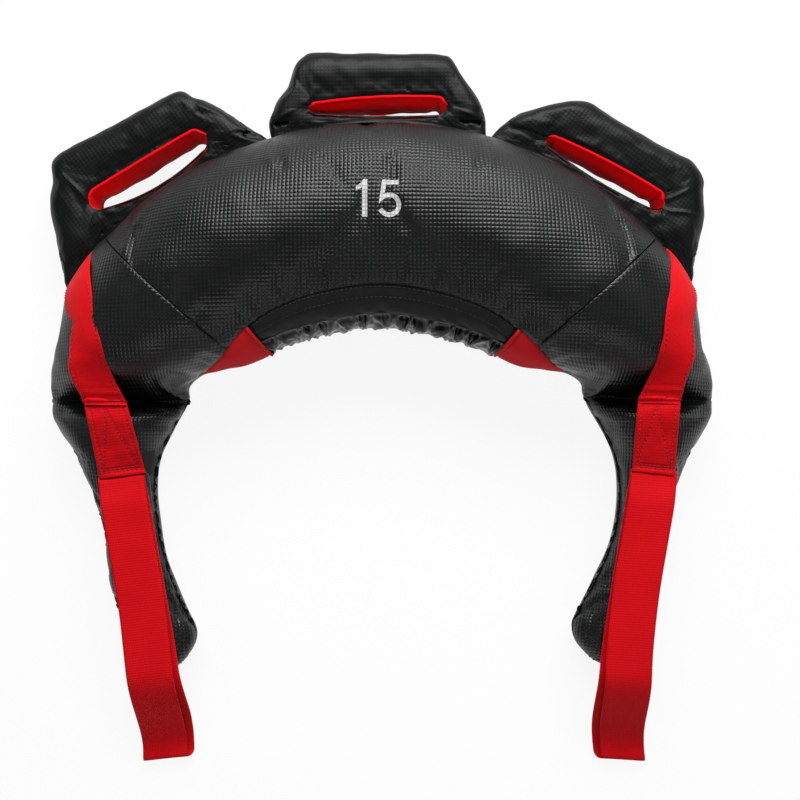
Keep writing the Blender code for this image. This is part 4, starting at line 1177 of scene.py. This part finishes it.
def slot_rim(side, outside):
    """Points of the cover's rim at the slot that face points of the outline, and the directions to them."""
    half = slot_half_length(side)
    place, turn = slot_frame(side)
    local = (outside - place) @ turn
    base = np.stack([np.clip(local[:, 0], -half, half), np.zeros(len(local))], axis=1)
    direction = unit(local - base)
    reach = slot_reach(side, base[:, 0] / half, direction[:, 1]) + RIM_GAP
    return (base + direction * reach[:, None]) @ turn.T + place, direction @ turn.T


def far_share(rise):
    """Share of a slot's far rim in a direction: one at the far side, nought at the bag's side."""
    return smooth_step((rise + 0.5) / 0.9)


def seam_distance(places):
    """Distance of places in a handle's frame from the bag's outer seam."""
    return np.linalg.norm(places - np.array((0.0, -HINGE_LINE_RADIUS)), axis=-1) - SEAM_RADIUS


def handle_heights(places):
    """Heights of a handle's edge, top and bottom over the seam, at places in its frame."""
    distance = np.maximum(0.0, seam_distance(places))
    share = smooth_step((distance - 0.004) / GRIP_START)
    edge = between(-0.0016, GRIP_THICKNESS / 2.0 - SEAM_HEIGHT, share)
    lip = 0.0012 * bell(distance, 0.0022, 0.0014)
    top = between(BEAD_RADIUS - 0.0006, GRIP_THICKNESS - SEAM_HEIGHT, share) + lip
    return edge, top, between(-BEAD_RADIUS, -SEAM_HEIGHT, share)


def build_handle_cover(side):
    """Padded cover of a handle, one cloth from the bag's seam round the grip to the slot's rims."""
    outline = handle_outline(side)
    inside, direction = slot_rim(side, outline)
    inside = inside - direction * far_share(direction[:, 1:]) * FAR_RIM_INSETS[side]
    shares = np.concatenate([np.linspace(-1.0, 0.0, 12, endpoint=False), np.sin(np.linspace(0.0, math.pi / 2.0, 18))])
    tops, bottoms = [], []
    for across in shares:
        places = inside + (outline - inside) * (across + 1.0) / 2.0
        if across < 0.0:
            crown = 1.0 - RIM_DROP_SHARE * across ** 2
        else:
            crown = max(0.0, 1.0 - across ** GRIP_ROUNDNESS) ** (1.0 / GRIP_ROUNDNESS)
        edge, top, bottom = handle_heights(places)
        tops.append(np.column_stack([places, between(edge, top, crown)]))
        bottoms.append(np.column_stack([places, between(edge, bottom, crown)]))
    rows = np.array(tops + bottoms[-2::-1]).transpose(1, 0, 2)
    flat = inside[:, None, :] + direction[:, None, :] * run_lengths(rows, 1)[..., None]
    flat = np.concatenate([flat, flat[:1]], axis=0)
    near = seam_distance(rows[..., :2])
    points = from_handle(side, rows)
    normals = grid_normals(points, wrapped=True)
    upward = normals[:, 4, 2].mean()
    if upward < 0.0:
        normals = -normals
    held = near < HANDLE_HELD_WIDTH
    held[:, :3] = held[:, -3:] = True
    points = settle(points, normals, held, *HANDLE_SWELL, wrapped=True)
    points[..., 2] = np.maximum(points[..., 2], 0.0)
    normals = grid_normals(points, wrapped=True) * (1.0 if upward > 0.0 else -1.0)
    topside = smooth_step(normals[..., 2] / 0.5)
    free = smooth_step(near / 0.006) * smooth_step(run_lengths(rows, 1) / 0.004)
    heights = photo_folds(points, HANDLE_FOLDS[side]) * topside
    for amount, scale, seed in ((0.0007, 0.034, 31.0), (0.0003, 0.012, 37.0)):
        heights += amount * field(points, scale, seed + HANDLE_TURNS[side]) * free
    heights = np.maximum(heights * smooth_step(near / 0.003), HANDLE_LEAST_LIFT) + 0.0003 * free
    points = keep_outside(points + normals * heights[..., None], "handle_core_" + side)
    cover = grid_object("handle_skin_" + side, points, flat, GRIP_VINYL, wrap_columns=True)
    fix_normals(cover)
    nodes = ("handle_cover_" + side, "handle_base_" + side)
    dress(cover, "black_vinyl", *nodes, bend="handle_" + side, fill=0.85)
    columns = range(2, 89)
    rows = [int(np.argmin(np.abs(near[column, :30] - ROOT_SEAM_PLACE))) for column in columns]
    sew(
        "root_stitches_" + side, points[columns, rows], normals[columns, rows], BLACK_THREAD, "black_vinyl",
        bend="handle_" + side,
    )


def slot_path(side):
    """Rim places and outward directions round a slot in the handle's frame, and shares along its middle line."""
    half = slot_half_length(side)
    straight, bend = 90, 44
    path = [(share, 0.0, -1.0) for share in spread(-1.0, 1.0, straight)[:-1]]
    path += [(1.0, math.cos(turn), math.sin(turn)) for turn in spread(-math.pi / 2.0, math.pi / 2.0, bend)[:-1]]
    path += [(share, 0.0, 1.0) for share in spread(1.0, -1.0, straight)[:-1]]
    path += [(-1.0, -math.cos(turn), math.sin(turn)) for turn in spread(math.pi / 2.0, -math.pi / 2.0, bend)[:-1]]
    path = np.array(path)
    rims = np.column_stack([path[:, 0] * half, np.zeros(len(path))])
    rims = rims + path[:, 1:] * slot_reach(side, path[:, 0], path[:, 2])[:, None]
    place, turn = slot_frame(side)
    return rims @ turn.T + place, path[:, 1:] @ turn.T, path[:, 0]


def build_slot_lining(side):
    """Red cloth round the slot: a rolled rim, a padded wall with gathered ends and a lower rim."""
    rims, outward, shares = slot_path(side)
    edge, top, bottom = handle_heights(rims)
    tops = between(edge, top, 1.0 - RIM_DROP_SHARE) + 0.0012
    lows = between(edge, bottom, 1.0 - RIM_DROP_SHARE) - 0.0002
    ends = smooth_step((np.abs(shares) - 0.80) / 0.2)
    around = path_lengths(rims)
    around = np.append(around, around[-1] + around[1])
    rings = []
    for index, (rim, out) in enumerate(zip(rims, outward)):
        run = around[index]
        far = float(far_share(np.array(out[1])))
        rim = rim - out * far * (FAR_RIM_INSETS[side] + RIM_GAP)
        tuck = NEAR_RIM_TUCK * (1.0 - far)
        gather = math.sin(run / GATHER_PITCH) * ends[index]
        high, low = tops[index], lows[index]
        ring = []
        for reach, height in RIM_PROFILE:
            height -= NEAR_RIM_DROP * (1.0 - far)
            lump = 0.0003 * gather + 0.00025 * noise.noise(Vector((run / 0.006, height / 0.002, 5.0)))
            ring.append((*(rim + out * (reach + tuck - lump)), high + height + lump))
        deep = min(1.0, max(0.0, high - low) / 0.02)
        for step in range(1, LINING_STEPS):
            share = step / LINING_STEPS
            swell = 0.0016 * math.sin(math.pi * share) * deep * far
            swell += LINING_SWELLS[side] * far * smooth_step(share / 0.9) * deep * (1.0 - ends[index])
            swell += 0.0011 * gather * math.sin(math.pi * min(1.0, share * 1.2))
            swell += 0.0016 * noise.noise(Vector((run / 0.016, share * 1.5, 9.0))) * share
            swell -= tuck * (1.0 - float(smooth_step(share / 0.4))) - 0.0008 * (1.0 - far) * share
            ring.append((*(rim - out * (0.0004 + swell)), between(high - 0.0014 - tuck, low + 0.0008, share)))
        ring.append((*(rim + out * 0.0004), low))
        ring.append((*(rim + out * (0.0024 - 0.0018 * (1.0 - far))), low + 0.0004))
        rings.append(ring)
    rows = np.array(rings)
    across = run_lengths(rows, 1)
    across = np.concatenate([across, across[:1]], axis=0)
    flat = np.stack([np.repeat(around[:, None], across.shape[1], axis=1), across], axis=-1)
    points = from_handle(side, rows)
    lining = grid_object("slot_skin_" + side, points, flat, LINING_CLOTH, wrap_columns=True)
    fix_normals(lining)
    dress(lining, "red_cloth", "slot_lining_" + side, body="handle_" + side, fill=0.3)


# Red strips, tabs and loops


def taut(distances, heights):
    """Heights of cloth that is pulled tight over a surface: the least hull over it."""
    hull = []
    for point in zip(distances, heights):
        while len(hull) > 1:
            (x1, z1), (x2, z2) = hull[-2:]
            if (z2 - z1) * (point[0] - x1) > (point[1] - z1) * (x2 - x1):
                break
            hull.pop()
        hull.append(point)
    return np.interp(distances, *zip(*hull))


def strip_middle(side, sign, along):
    """Middle of the strip and tab on the floor, at a distance in front of the fold line."""
    lean = math.tan(math.radians(TAB_LEANS[side]))
    shift = (TAB_END - along) * lean if along > 0.0 else TAB_END * lean - along * 0.10
    fold = edges_at(sign * CREASE_STATION)[0].y
    return Vector((sign * (LOOP_CENTRES[side] + shift), fold - along, 0.0)) + ORIGIN


def drop_on(tree, x, y):
    """Place and normal of a skin over a place on the floor."""
    return tree.ray_cast(Vector((x, y, RAY_HEIGHT)), Vector((0.0, 0.0, -1.0)))[:2]


def height_on(tree, x, y):
    """Height of a skin over a place on the floor, or nought where there is none."""
    hit = drop_on(tree, x, y)[0]
    return hit.z if hit else 0.0


def bridge_heights(side, sign, tree):
    """How high a strip pulled tight from the bag over the fold to the arm lies, by world Y."""
    places = [strip_middle(side, sign, along) for along in np.arange(BRIDGE_START, TAB_END, BRIDGE_STEP)]
    heights = [height_on(tree, place.x, place.y) for place in places]
    runs = [-place.y for place in places]
    bridged = taut(runs, heights)
    return runs, 0.8 * bridged + 0.2 * np.array(heights)


def build_side_strip(side, sign, tree, bridge):
    """Red strip from the handle seam to the fold, where it laps over the tab."""
    stations = [sign * s for s in with_edges(spread(STRIP_TURNS[0][0], STRIP_TURNS[-1][0], 96))]
    patch = Patch(stations, lambda s: smooth_rows(STRIP_TURNS, abs(s)), 26, 30.0)
    start, end, first, last = patch.edge_distances()
    edges = np.minimum(start, end)
    heights = STRIP_LIFT - 0.0010 * bell(edges, 0.0, 0.0014) - 0.0004 * bell(edges, STRIP_SEAM_INSET, 0.001)
    heights += 0.0008 * field(patch.points, 0.035, 21.0 + sign) * smooth_step(first / 0.01)
    ahead = patch.points[..., 1] - patch.points[-1:, :, 1]
    for amount, place, width in zip((0.0014, 0.0008), STRIP_END_SEAMS, (0.0022, 0.0018)):
        heights -= amount * bell(ahead, place, width)
    patch.lift(heights)
    level = np.interp(-patch.points[..., 1], *bridge) + TAB_LIFT + 0.0006 + heights - STRIP_LIFT
    reach = smooth_step((np.abs(np.array(stations)) - STRIP_BRIDGE_START) / STRIP_BRIDGE_SPAN)[:, None]
    droop = STRIP_DROOP * np.abs(np.linspace(-1.0, 1.0, patch.points.shape[1]))[None, :] ** 3
    raised = np.maximum(patch.points[..., 2], level - droop)
    patch.points[..., 2] = between(patch.points[..., 2], raised, reach)
    places = photo_places(patch.points)
    outer, inner = [np.interp(places[..., 1], *np.array(edge, float).T[::-1]) for edge in STRIP_EDGES[side]]
    weight = smooth_step((places[..., 1] - STRIP_VIEW_START) / STRIP_VIEW_SPAN)
    places[..., 0] = between(places[..., 0], between(outer, inner, patch.across / patch.across[:, -1:]), weight)
    own = patch.points[..., 2].copy()
    for _ in range(2):
        x, y = from_photo(places, patch.points[..., 2])
        for i, j in np.ndindex(*x.shape):
            if weight[i, j] > 0.02:
                height = height_on(tree, x[i, j], y[i, j]) + heights[i, j]
                height = between(height, max(height, level[i, j] - droop[0, j]), reach[i, 0])
                patch.points[i, j] = x[i, j], y[i, j], between(own[i, j], height, weight[i, j])
    patch.measure()
    strip = patch_object("strip_skin_" + side, patch, RED_CLOTH)
    thicken(strip, STRIP_WALL)
    dress(strip, "red_cloth", "side_strip_" + side, bend="arm_" + side)
    seams = [[values[22:] for values in patch.line(STRIP_SEAM_INSET, edge)] for edge in (0, 1)]
    for distance in STRIP_END_SEAMS:
        column = int(np.argmin(np.abs(last[:, 14] - distance)))
        seams.append((patch.points[column, 4:-4], patch.normals[column, 4:-4]))
    for number, seam in enumerate(seams, 1):
        sew("strip_stitches_{}_{}".format(number, side), *seam, RED_THREAD, "red_cloth", bend="arm_" + side)


def averaged(heights):
    """Heights of a grid, each the mean of five neighbours, one way and then the other."""
    for _ in range(2):
        padded = np.pad(heights, ((2, 2), (0, 0)), mode="edge")
        heights = (sum(padded[index:index + len(heights)] for index in range(5)) / 5.0).T
    return heights


def tab_places(side, tree, bridge, columns, rows):
    """Grid of points for a tab: between its corners in the photograph, over the arm, the bridge and the loop."""
    points = np.zeros((columns + 1, rows + 1, 3))
    pixels = np.zeros((columns + 1, rows + 1, 2))
    corners = np.array(TAB_CORNERS[side])
    for i, j in np.ndindex(columns + 1, rows + 1):
        top = between(corners[0], corners[1], i / columns)
        pixels[i, j] = between(top, between(corners[2], corners[3], i / columns), j / rows)
        height = 0.06
        for _ in range(3):
            x, y = from_photo(pixels[i, j], height)
            height = height_on(tree, x, y) + TAB_LIFT
        points[i, j] = x, y, height - TAB_LIFT
    level = np.interp(-points[..., 1], *bridge)
    heights = np.maximum(points[..., 2], level) + TAB_LIFT - TAB_SINK
    for _ in range(3):
        heights = averaged(heights)
    over_loop = joint_place("strap_" + side + "_swing").z + 1.5 * WEBBING_THICKNESS + 0.0008
    last = smooth_step((np.arange(rows + 1) / rows - 0.90) / 0.07)[None, :]
    points[..., 2] = between(heights, np.maximum(heights, over_loop), last)
    points[..., 0], points[..., 1] = from_photo(pixels, points[..., 2])
    return points


def tab_seams():
    """Lines of a tab's stitches, across and along it: a box, a cross and a row over the loop."""
    half, end = WEBBING_WIDTH / 2.0 - TAB_BOX_INSET, TAB_END - TAB_START
    corners = (
        (-half, TAB_BOX_START), (half, TAB_BOX_START), (half, end - TAB_BOX_INSET), (-half, end - TAB_BOX_INSET),
        (-0.1 * half, TAB_BOX_START), (half, end - 1.5 * TAB_BOX_INSET), (-half, end - 1.5 * TAB_BOX_INSET),
    )
    pairs = ((1, 2), (2, 3), (3, 0), (4, 2), (4, 3), (5, 6))
    return [np.linspace(corners[first], corners[second], 60) for first, second in pairs]


def build_tab(side, sign, tree, bridge):
    """Doubled webbing sewn on the arm, from the fold to the loop's stitch line."""
    columns, rows = 28, 72
    offsets = np.linspace(-0.5, 0.5, columns + 1) * WEBBING_WIDTH
    alongs = np.linspace(TAB_START, TAB_END, rows + 1)
    points = tab_places(side, tree, bridge, columns, rows)
    grid = np.stack(np.meshgrid(offsets, alongs - TAB_START, indexing="ij"), axis=-1)
    sunk = np.full(grid.shape[:2], np.inf)
    for line in tab_seams():
        sunk = np.minimum(sunk, np.linalg.norm(grid[:, :, None, :] - line[None, None], axis=-1).min(axis=2))
    edge = smooth_step((np.abs(offsets) - WEBBING_WIDTH / 2.0 + 0.0012) / 0.0012)[:, None]
    points[..., 2] -= 0.0009 * bell(sunk, 0.0, 0.0011) + 0.0007 * edge
    points[..., 2] += 0.0003 * field(points, 0.010, 51.0 + sign)
    flat = np.stack(np.broadcast_arrays(offsets[:, None], -alongs[None, :]), axis=-1)
    tab = grid_object("tab_skin_" + side, points, flat, WEBBING, flip=True)
    normals = grid_normals(points)
    normals = normals * np.sign(normals[..., 2:].mean())
    thicken(tab, TAB_WALL)
    dress(tab, "red_webbing", "webbing_tab_" + side, bend="arm_" + side)
    for number, line in enumerate(tab_seams(), 1):
        i = np.interp(line[:, 0], offsets, np.arange(columns + 1))
        j = np.interp(line[:, 1] + TAB_START, alongs, np.arange(rows + 1))
        near = i.round().astype(int), j.round().astype(int)
        path = points[near].copy()
        path[:, 0] = [np.interp(a, np.arange(columns + 1), points[:, b, 0]) for a, b in zip(i, near[1])]
        path[:, 1] = [np.interp(b, np.arange(rows + 1), points[a, :, 1]) for a, b in zip(near[0], j)]
        name = "tab_stitches_{}_{}".format(number, side)
        sew(name, path, normals[near], RED_THREAD, "red_webbing", bend="arm_" + side)


def loop_profile(length, start_height):
    """Closed side view of a loop: distance from the stitches and height, front leg first."""
    end_radius = LOOP_OPENING / 2.0
    floor_height = end_radius + WEBBING_THICKNESS + LOOP_END_LIFT
    front, rear = [], []
    for share in spread(0.0, 1.0, 70):
        fall = smooth_step((share - LOOP_FLAT_SHARE) / (1.0 - LOOP_FLAT_SHARE))
        height = between(start_height, floor_height, fall)
        gap = between(WEBBING_THICKNESS, end_radius, smooth_step(share * length / LOOP_STITCH_LENGTH / 2.0))
        front.append((share * (length - end_radius), height + gap))
        rear.append((share * (length - end_radius), height - gap))
    turn_points = []
    for turn in spread(80.0, -80.0, 12):
        angle = math.radians(turn)
        reach = length - end_radius + end_radius * math.cos(angle)
        turn_points.append((reach, floor_height + end_radius * math.sin(angle)))
    return front + turn_points + list(reversed(rear)) + [(-WEBBING_THICKNESS - 0.0008, start_height)]


def build_loop(side, sign):
    """Closed loop of webbing, its rear leg a little aside of its front leg."""
    place = joint_place("strap_" + side + "_swing")
    length = LOOP_LENGTHS[side]
    profile = np.array(loop_profile(length, place.z), float)
    count, rows = len(profile), 20
    runs = path_lengths(profile)
    turned = Matrix.Rotation(-sign * math.radians(LOOP_LEANS[side]), 3, "Z")
    points = np.zeros((count, rows + 1, 3))
    flat = np.zeros((count + 1, rows + 1, 2))
    for i, (distance, height) in enumerate(profile):
        rear = smooth_step((i / count - 0.47) / 0.06) * (1.0 - smooth_step((i / count - 0.94) / 0.04))
        share = min(1.0, max(0.0, distance / length))
        aside = -sign * REAR_LEG_ASIDE * rear * smooth_step((share - 0.35) / 0.5)
        bow = -sign * LOOP_BOWS[side] * math.sin(math.pi * share ** LOOP_BOW_EVENNESS)
        wander = 0.0008 * noise.noise(Vector((runs[i] / 0.06, 3.0 * sign, 0.0))) * smooth_step(distance / 0.04)
        ripple = 0.0006 * noise.noise(Vector((runs[i] / 0.035, 7.0 * sign, 2.0))) * smooth_step(distance / 0.03)
        for j in range(rows + 1):
            offset = WEBBING_WIDTH * (j / rows - 0.5)
            across = 2.0 * j / rows - 1.0
            hollow = 0.0005 * (1.0 - across ** 2) + 0.0004 * smooth_step((abs(across) - 0.86) / 0.1)
            point = turned @ Vector((offset + bow + aside + wander, -distance, 0.0))
            height_here = height - hollow * (1.0 if rear < 0.5 else -1.0) + ripple
            points[i, j] = place.x + point.x, place.y + point.y, height_here
            flat[i, j] = offset, runs[i]
    flat[count] = flat[count - 1] + np.array((0.0, 0.003))
    loop = grid_object("loop_skin_" + side, points, flat, WEBBING, wrap_columns=True)
    fix_normals(loop)
    add_wall(loop, WEBBING_THICKNESS, 0.0)
    dress(loop, "red_webbing", "webbing_loop_" + side, body="strap_" + side)


# Print


def thick_line(path, width):
    """Outline of a pen stroke along a path."""
    path = np.array(path, float)
    before = np.concatenate([path[:1] * 2.0 - path[1:2], path[:-1]])
    after = np.concatenate([path[1:], path[-1:] * 2.0 - path[-2:-1]])
    first, second = unit(path - before), unit(after - path)
    aside = unit(first + second)[:, ::-1] * np.array((-1.0, 1.0))
    straight = first[:, ::-1] * np.array((-1.0, 1.0))
    aside = aside / np.maximum(0.35, (aside * straight).sum(axis=1, keepdims=True))
    return np.concatenate([path + aside * width / 2.0, (path - aside * width / 2.0)[::-1]])


def digit_outlines():
    """Outlines of the digits 1 and 5, one unit high, with their places along the line."""
    one = ((0.17, 0.0), (0.31, 0.0), (0.31, 1.0), (0.20, 1.0), (0.14, 0.90), (0.0, 0.80), (0.0, 0.68), (0.17, 0.78))
    bowl = [(0.26 + 0.265 * math.cos(turn), 0.325 + 0.265 * math.sin(turn))
            for turn in np.radians(np.linspace(128.0, -152.0, 26))]
    five = thick_line([(0.52, 0.935), (0.13, 0.935), (0.065, 0.50)] + bowl, 0.125)
    return (np.array(one) - (0.16, 0.5), -0.44), (five - (0.27, 0.5), 0.30)


def build_print(skin):
    """Plain weight number on the front, laid on the cloth."""
    tree = tree_of(skin)
    shape = bmesh.new()
    for outline, along in digit_outlines():
        corners = [shape.verts.new(((x + along) * PRINT_HEIGHT, y * PRINT_HEIGHT, 0.0)) for x, y in outline]
        shape.faces.new(corners)
    shape.normal_update()
    bmesh.ops.triangulate(shape, faces=shape.faces[:])
    for axis in (0, 1):
        for step in np.arange(-0.026, 0.026, PRINT_CUTS):
            place, normal = [0.0] * 3, [0.0] * 3
            place[axis], normal[axis] = step, 1.0
            geometry = shape.verts[:] + shape.edges[:] + shape.faces[:]
            bmesh.ops.bisect_plane(shape, geom=geometry, plane_co=place, plane_no=normal, dist=1e-7)
    centre = PRINT_PLACE + ORIGIN
    layer = shape.loops.layers.uv.verify()
    for face in shape.faces:
        for loop in face.loops:
            loop[layer].uv = loop.vert.co.xy
    for vertex in shape.verts:
        x, y = vertex.co.x + centre.x, vertex.co.y + centre.y - 0.02 * vertex.co.x
        hit, normal = drop_on(tree, x, y)
        vertex.co = hit + normal * PRINT_GAP
    mesh = bpy.data.meshes.new("weight_number")
    shape.to_mesh(mesh)
    shape.free()
    mesh.materials.append(PRINT)
    number = link_object("weight_number", mesh)
    if sum(face.normal.z for face in mesh.polygons) < 0.0:
        mesh.flip_normals()
    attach(number, "bag")


centre_skin = build_centre_front()
side_trees = {side: tree_of(build_side(side, sign)) for side, sign in SIDES}
build_centre_back()
build_collar()
build_hem()
build_gussets()
for side in SLOT_WIDTHS:
    build_handle_cover(side)
    build_slot_lining(side)
for side, sign in SIDES:
    band = bridge_heights(side, sign, side_trees[side])
    build_side_strip(side, sign, side_trees[side], band)
    build_tab(side, sign, side_trees[side], band)
    build_loop(side, sign)
build_print(centre_skin)

# Inner pieces keep their CAD shape
for name, item in frame["nodes"].items():
    if name.startswith(("sand_liner", "arm_filling")):
        item.material_slots[0].material = CANVAS
    elif name.startswith("handle_core"):
        item.material_slots[0].material = FOAM


# Stage, light and camera


def build_stage():
    """White floor that keeps the shadow."""
    bpy.ops.mesh.primitive_plane_add(size=FLOOR_SIZE, location=(0.0, 0.0, -0.0005))
    floor = bpy.context.object
    floor.name = "floor"
    material, tree, shader, add = new_material("white_floor")
    shader.inputs["Base Color"].default_value = (0.80, 0.80, 0.80, 1.0)
    shader.inputs["Roughness"].default_value = 0.9
    shader.inputs["Specular IOR Level"].default_value = 0.0
    glow = add("Emission", None, 1.0)
    rays = add("LightPath").outputs
    seen = add("Math", rays["Is Camera Ray"], rays["Is Glossy Ray"]).outputs[0]
    seen = add("Math", seen, rays["Is Transmission Ray"], use_clamp=True).outputs[0]
    share = add("Math", seen, FLOOR_GLOW, operation="MULTIPLY").outputs[0]
    mix = add("MixShader", share, shader.outputs[0], glow.outputs[0])
    tree.links.new(mix.outputs[0], tree.nodes["Material Output"].inputs["Surface"])
    floor.data.materials.append(material)


def add_lamp(name, place, size, power):
    """Large soft lamp that looks at the bag."""
    lamp = bpy.data.lights.new(name, "AREA")
    lamp.shape = "RECTANGLE"
    lamp.size, lamp.size_y = size
    lamp.energy = power
    item = link_object(name, lamp)
    item.location = place
    item.rotation_euler = (LAMP_TARGET - Vector(place)).to_track_quat("-Z", "Y").to_euler()


def build_lights():
    """Window light from behind the handles, weak lamps from the sides and the front, and a dim world."""
    for name, values in LAMPS.items():
        add_lamp(name, *values)
    world = bpy.context.scene.world or bpy.data.worlds.new("world")
    bpy.context.scene.world = world
    world.use_nodes = True
    background = world.node_tree.nodes["Background"]
    background.inputs["Color"].default_value = (1.0, 1.0, 1.0, 1.0)
    background.inputs["Strength"].default_value = WORLD_STRENGTH


def build_camera():
    """Camera straight above, as the photograph's."""
    lens = bpy.data.cameras.new("camera")
    lens.lens = CAMERA_LENS
    lens.sensor_width = CAMERA_SENSOR
    camera = link_object("camera", lens)
    camera.location = CAMERA_PLACE
    bpy.context.scene.camera = camera


build_stage()
build_lights()
build_camera()
bpy.context.scene.view_settings.view_transform = "Standard"
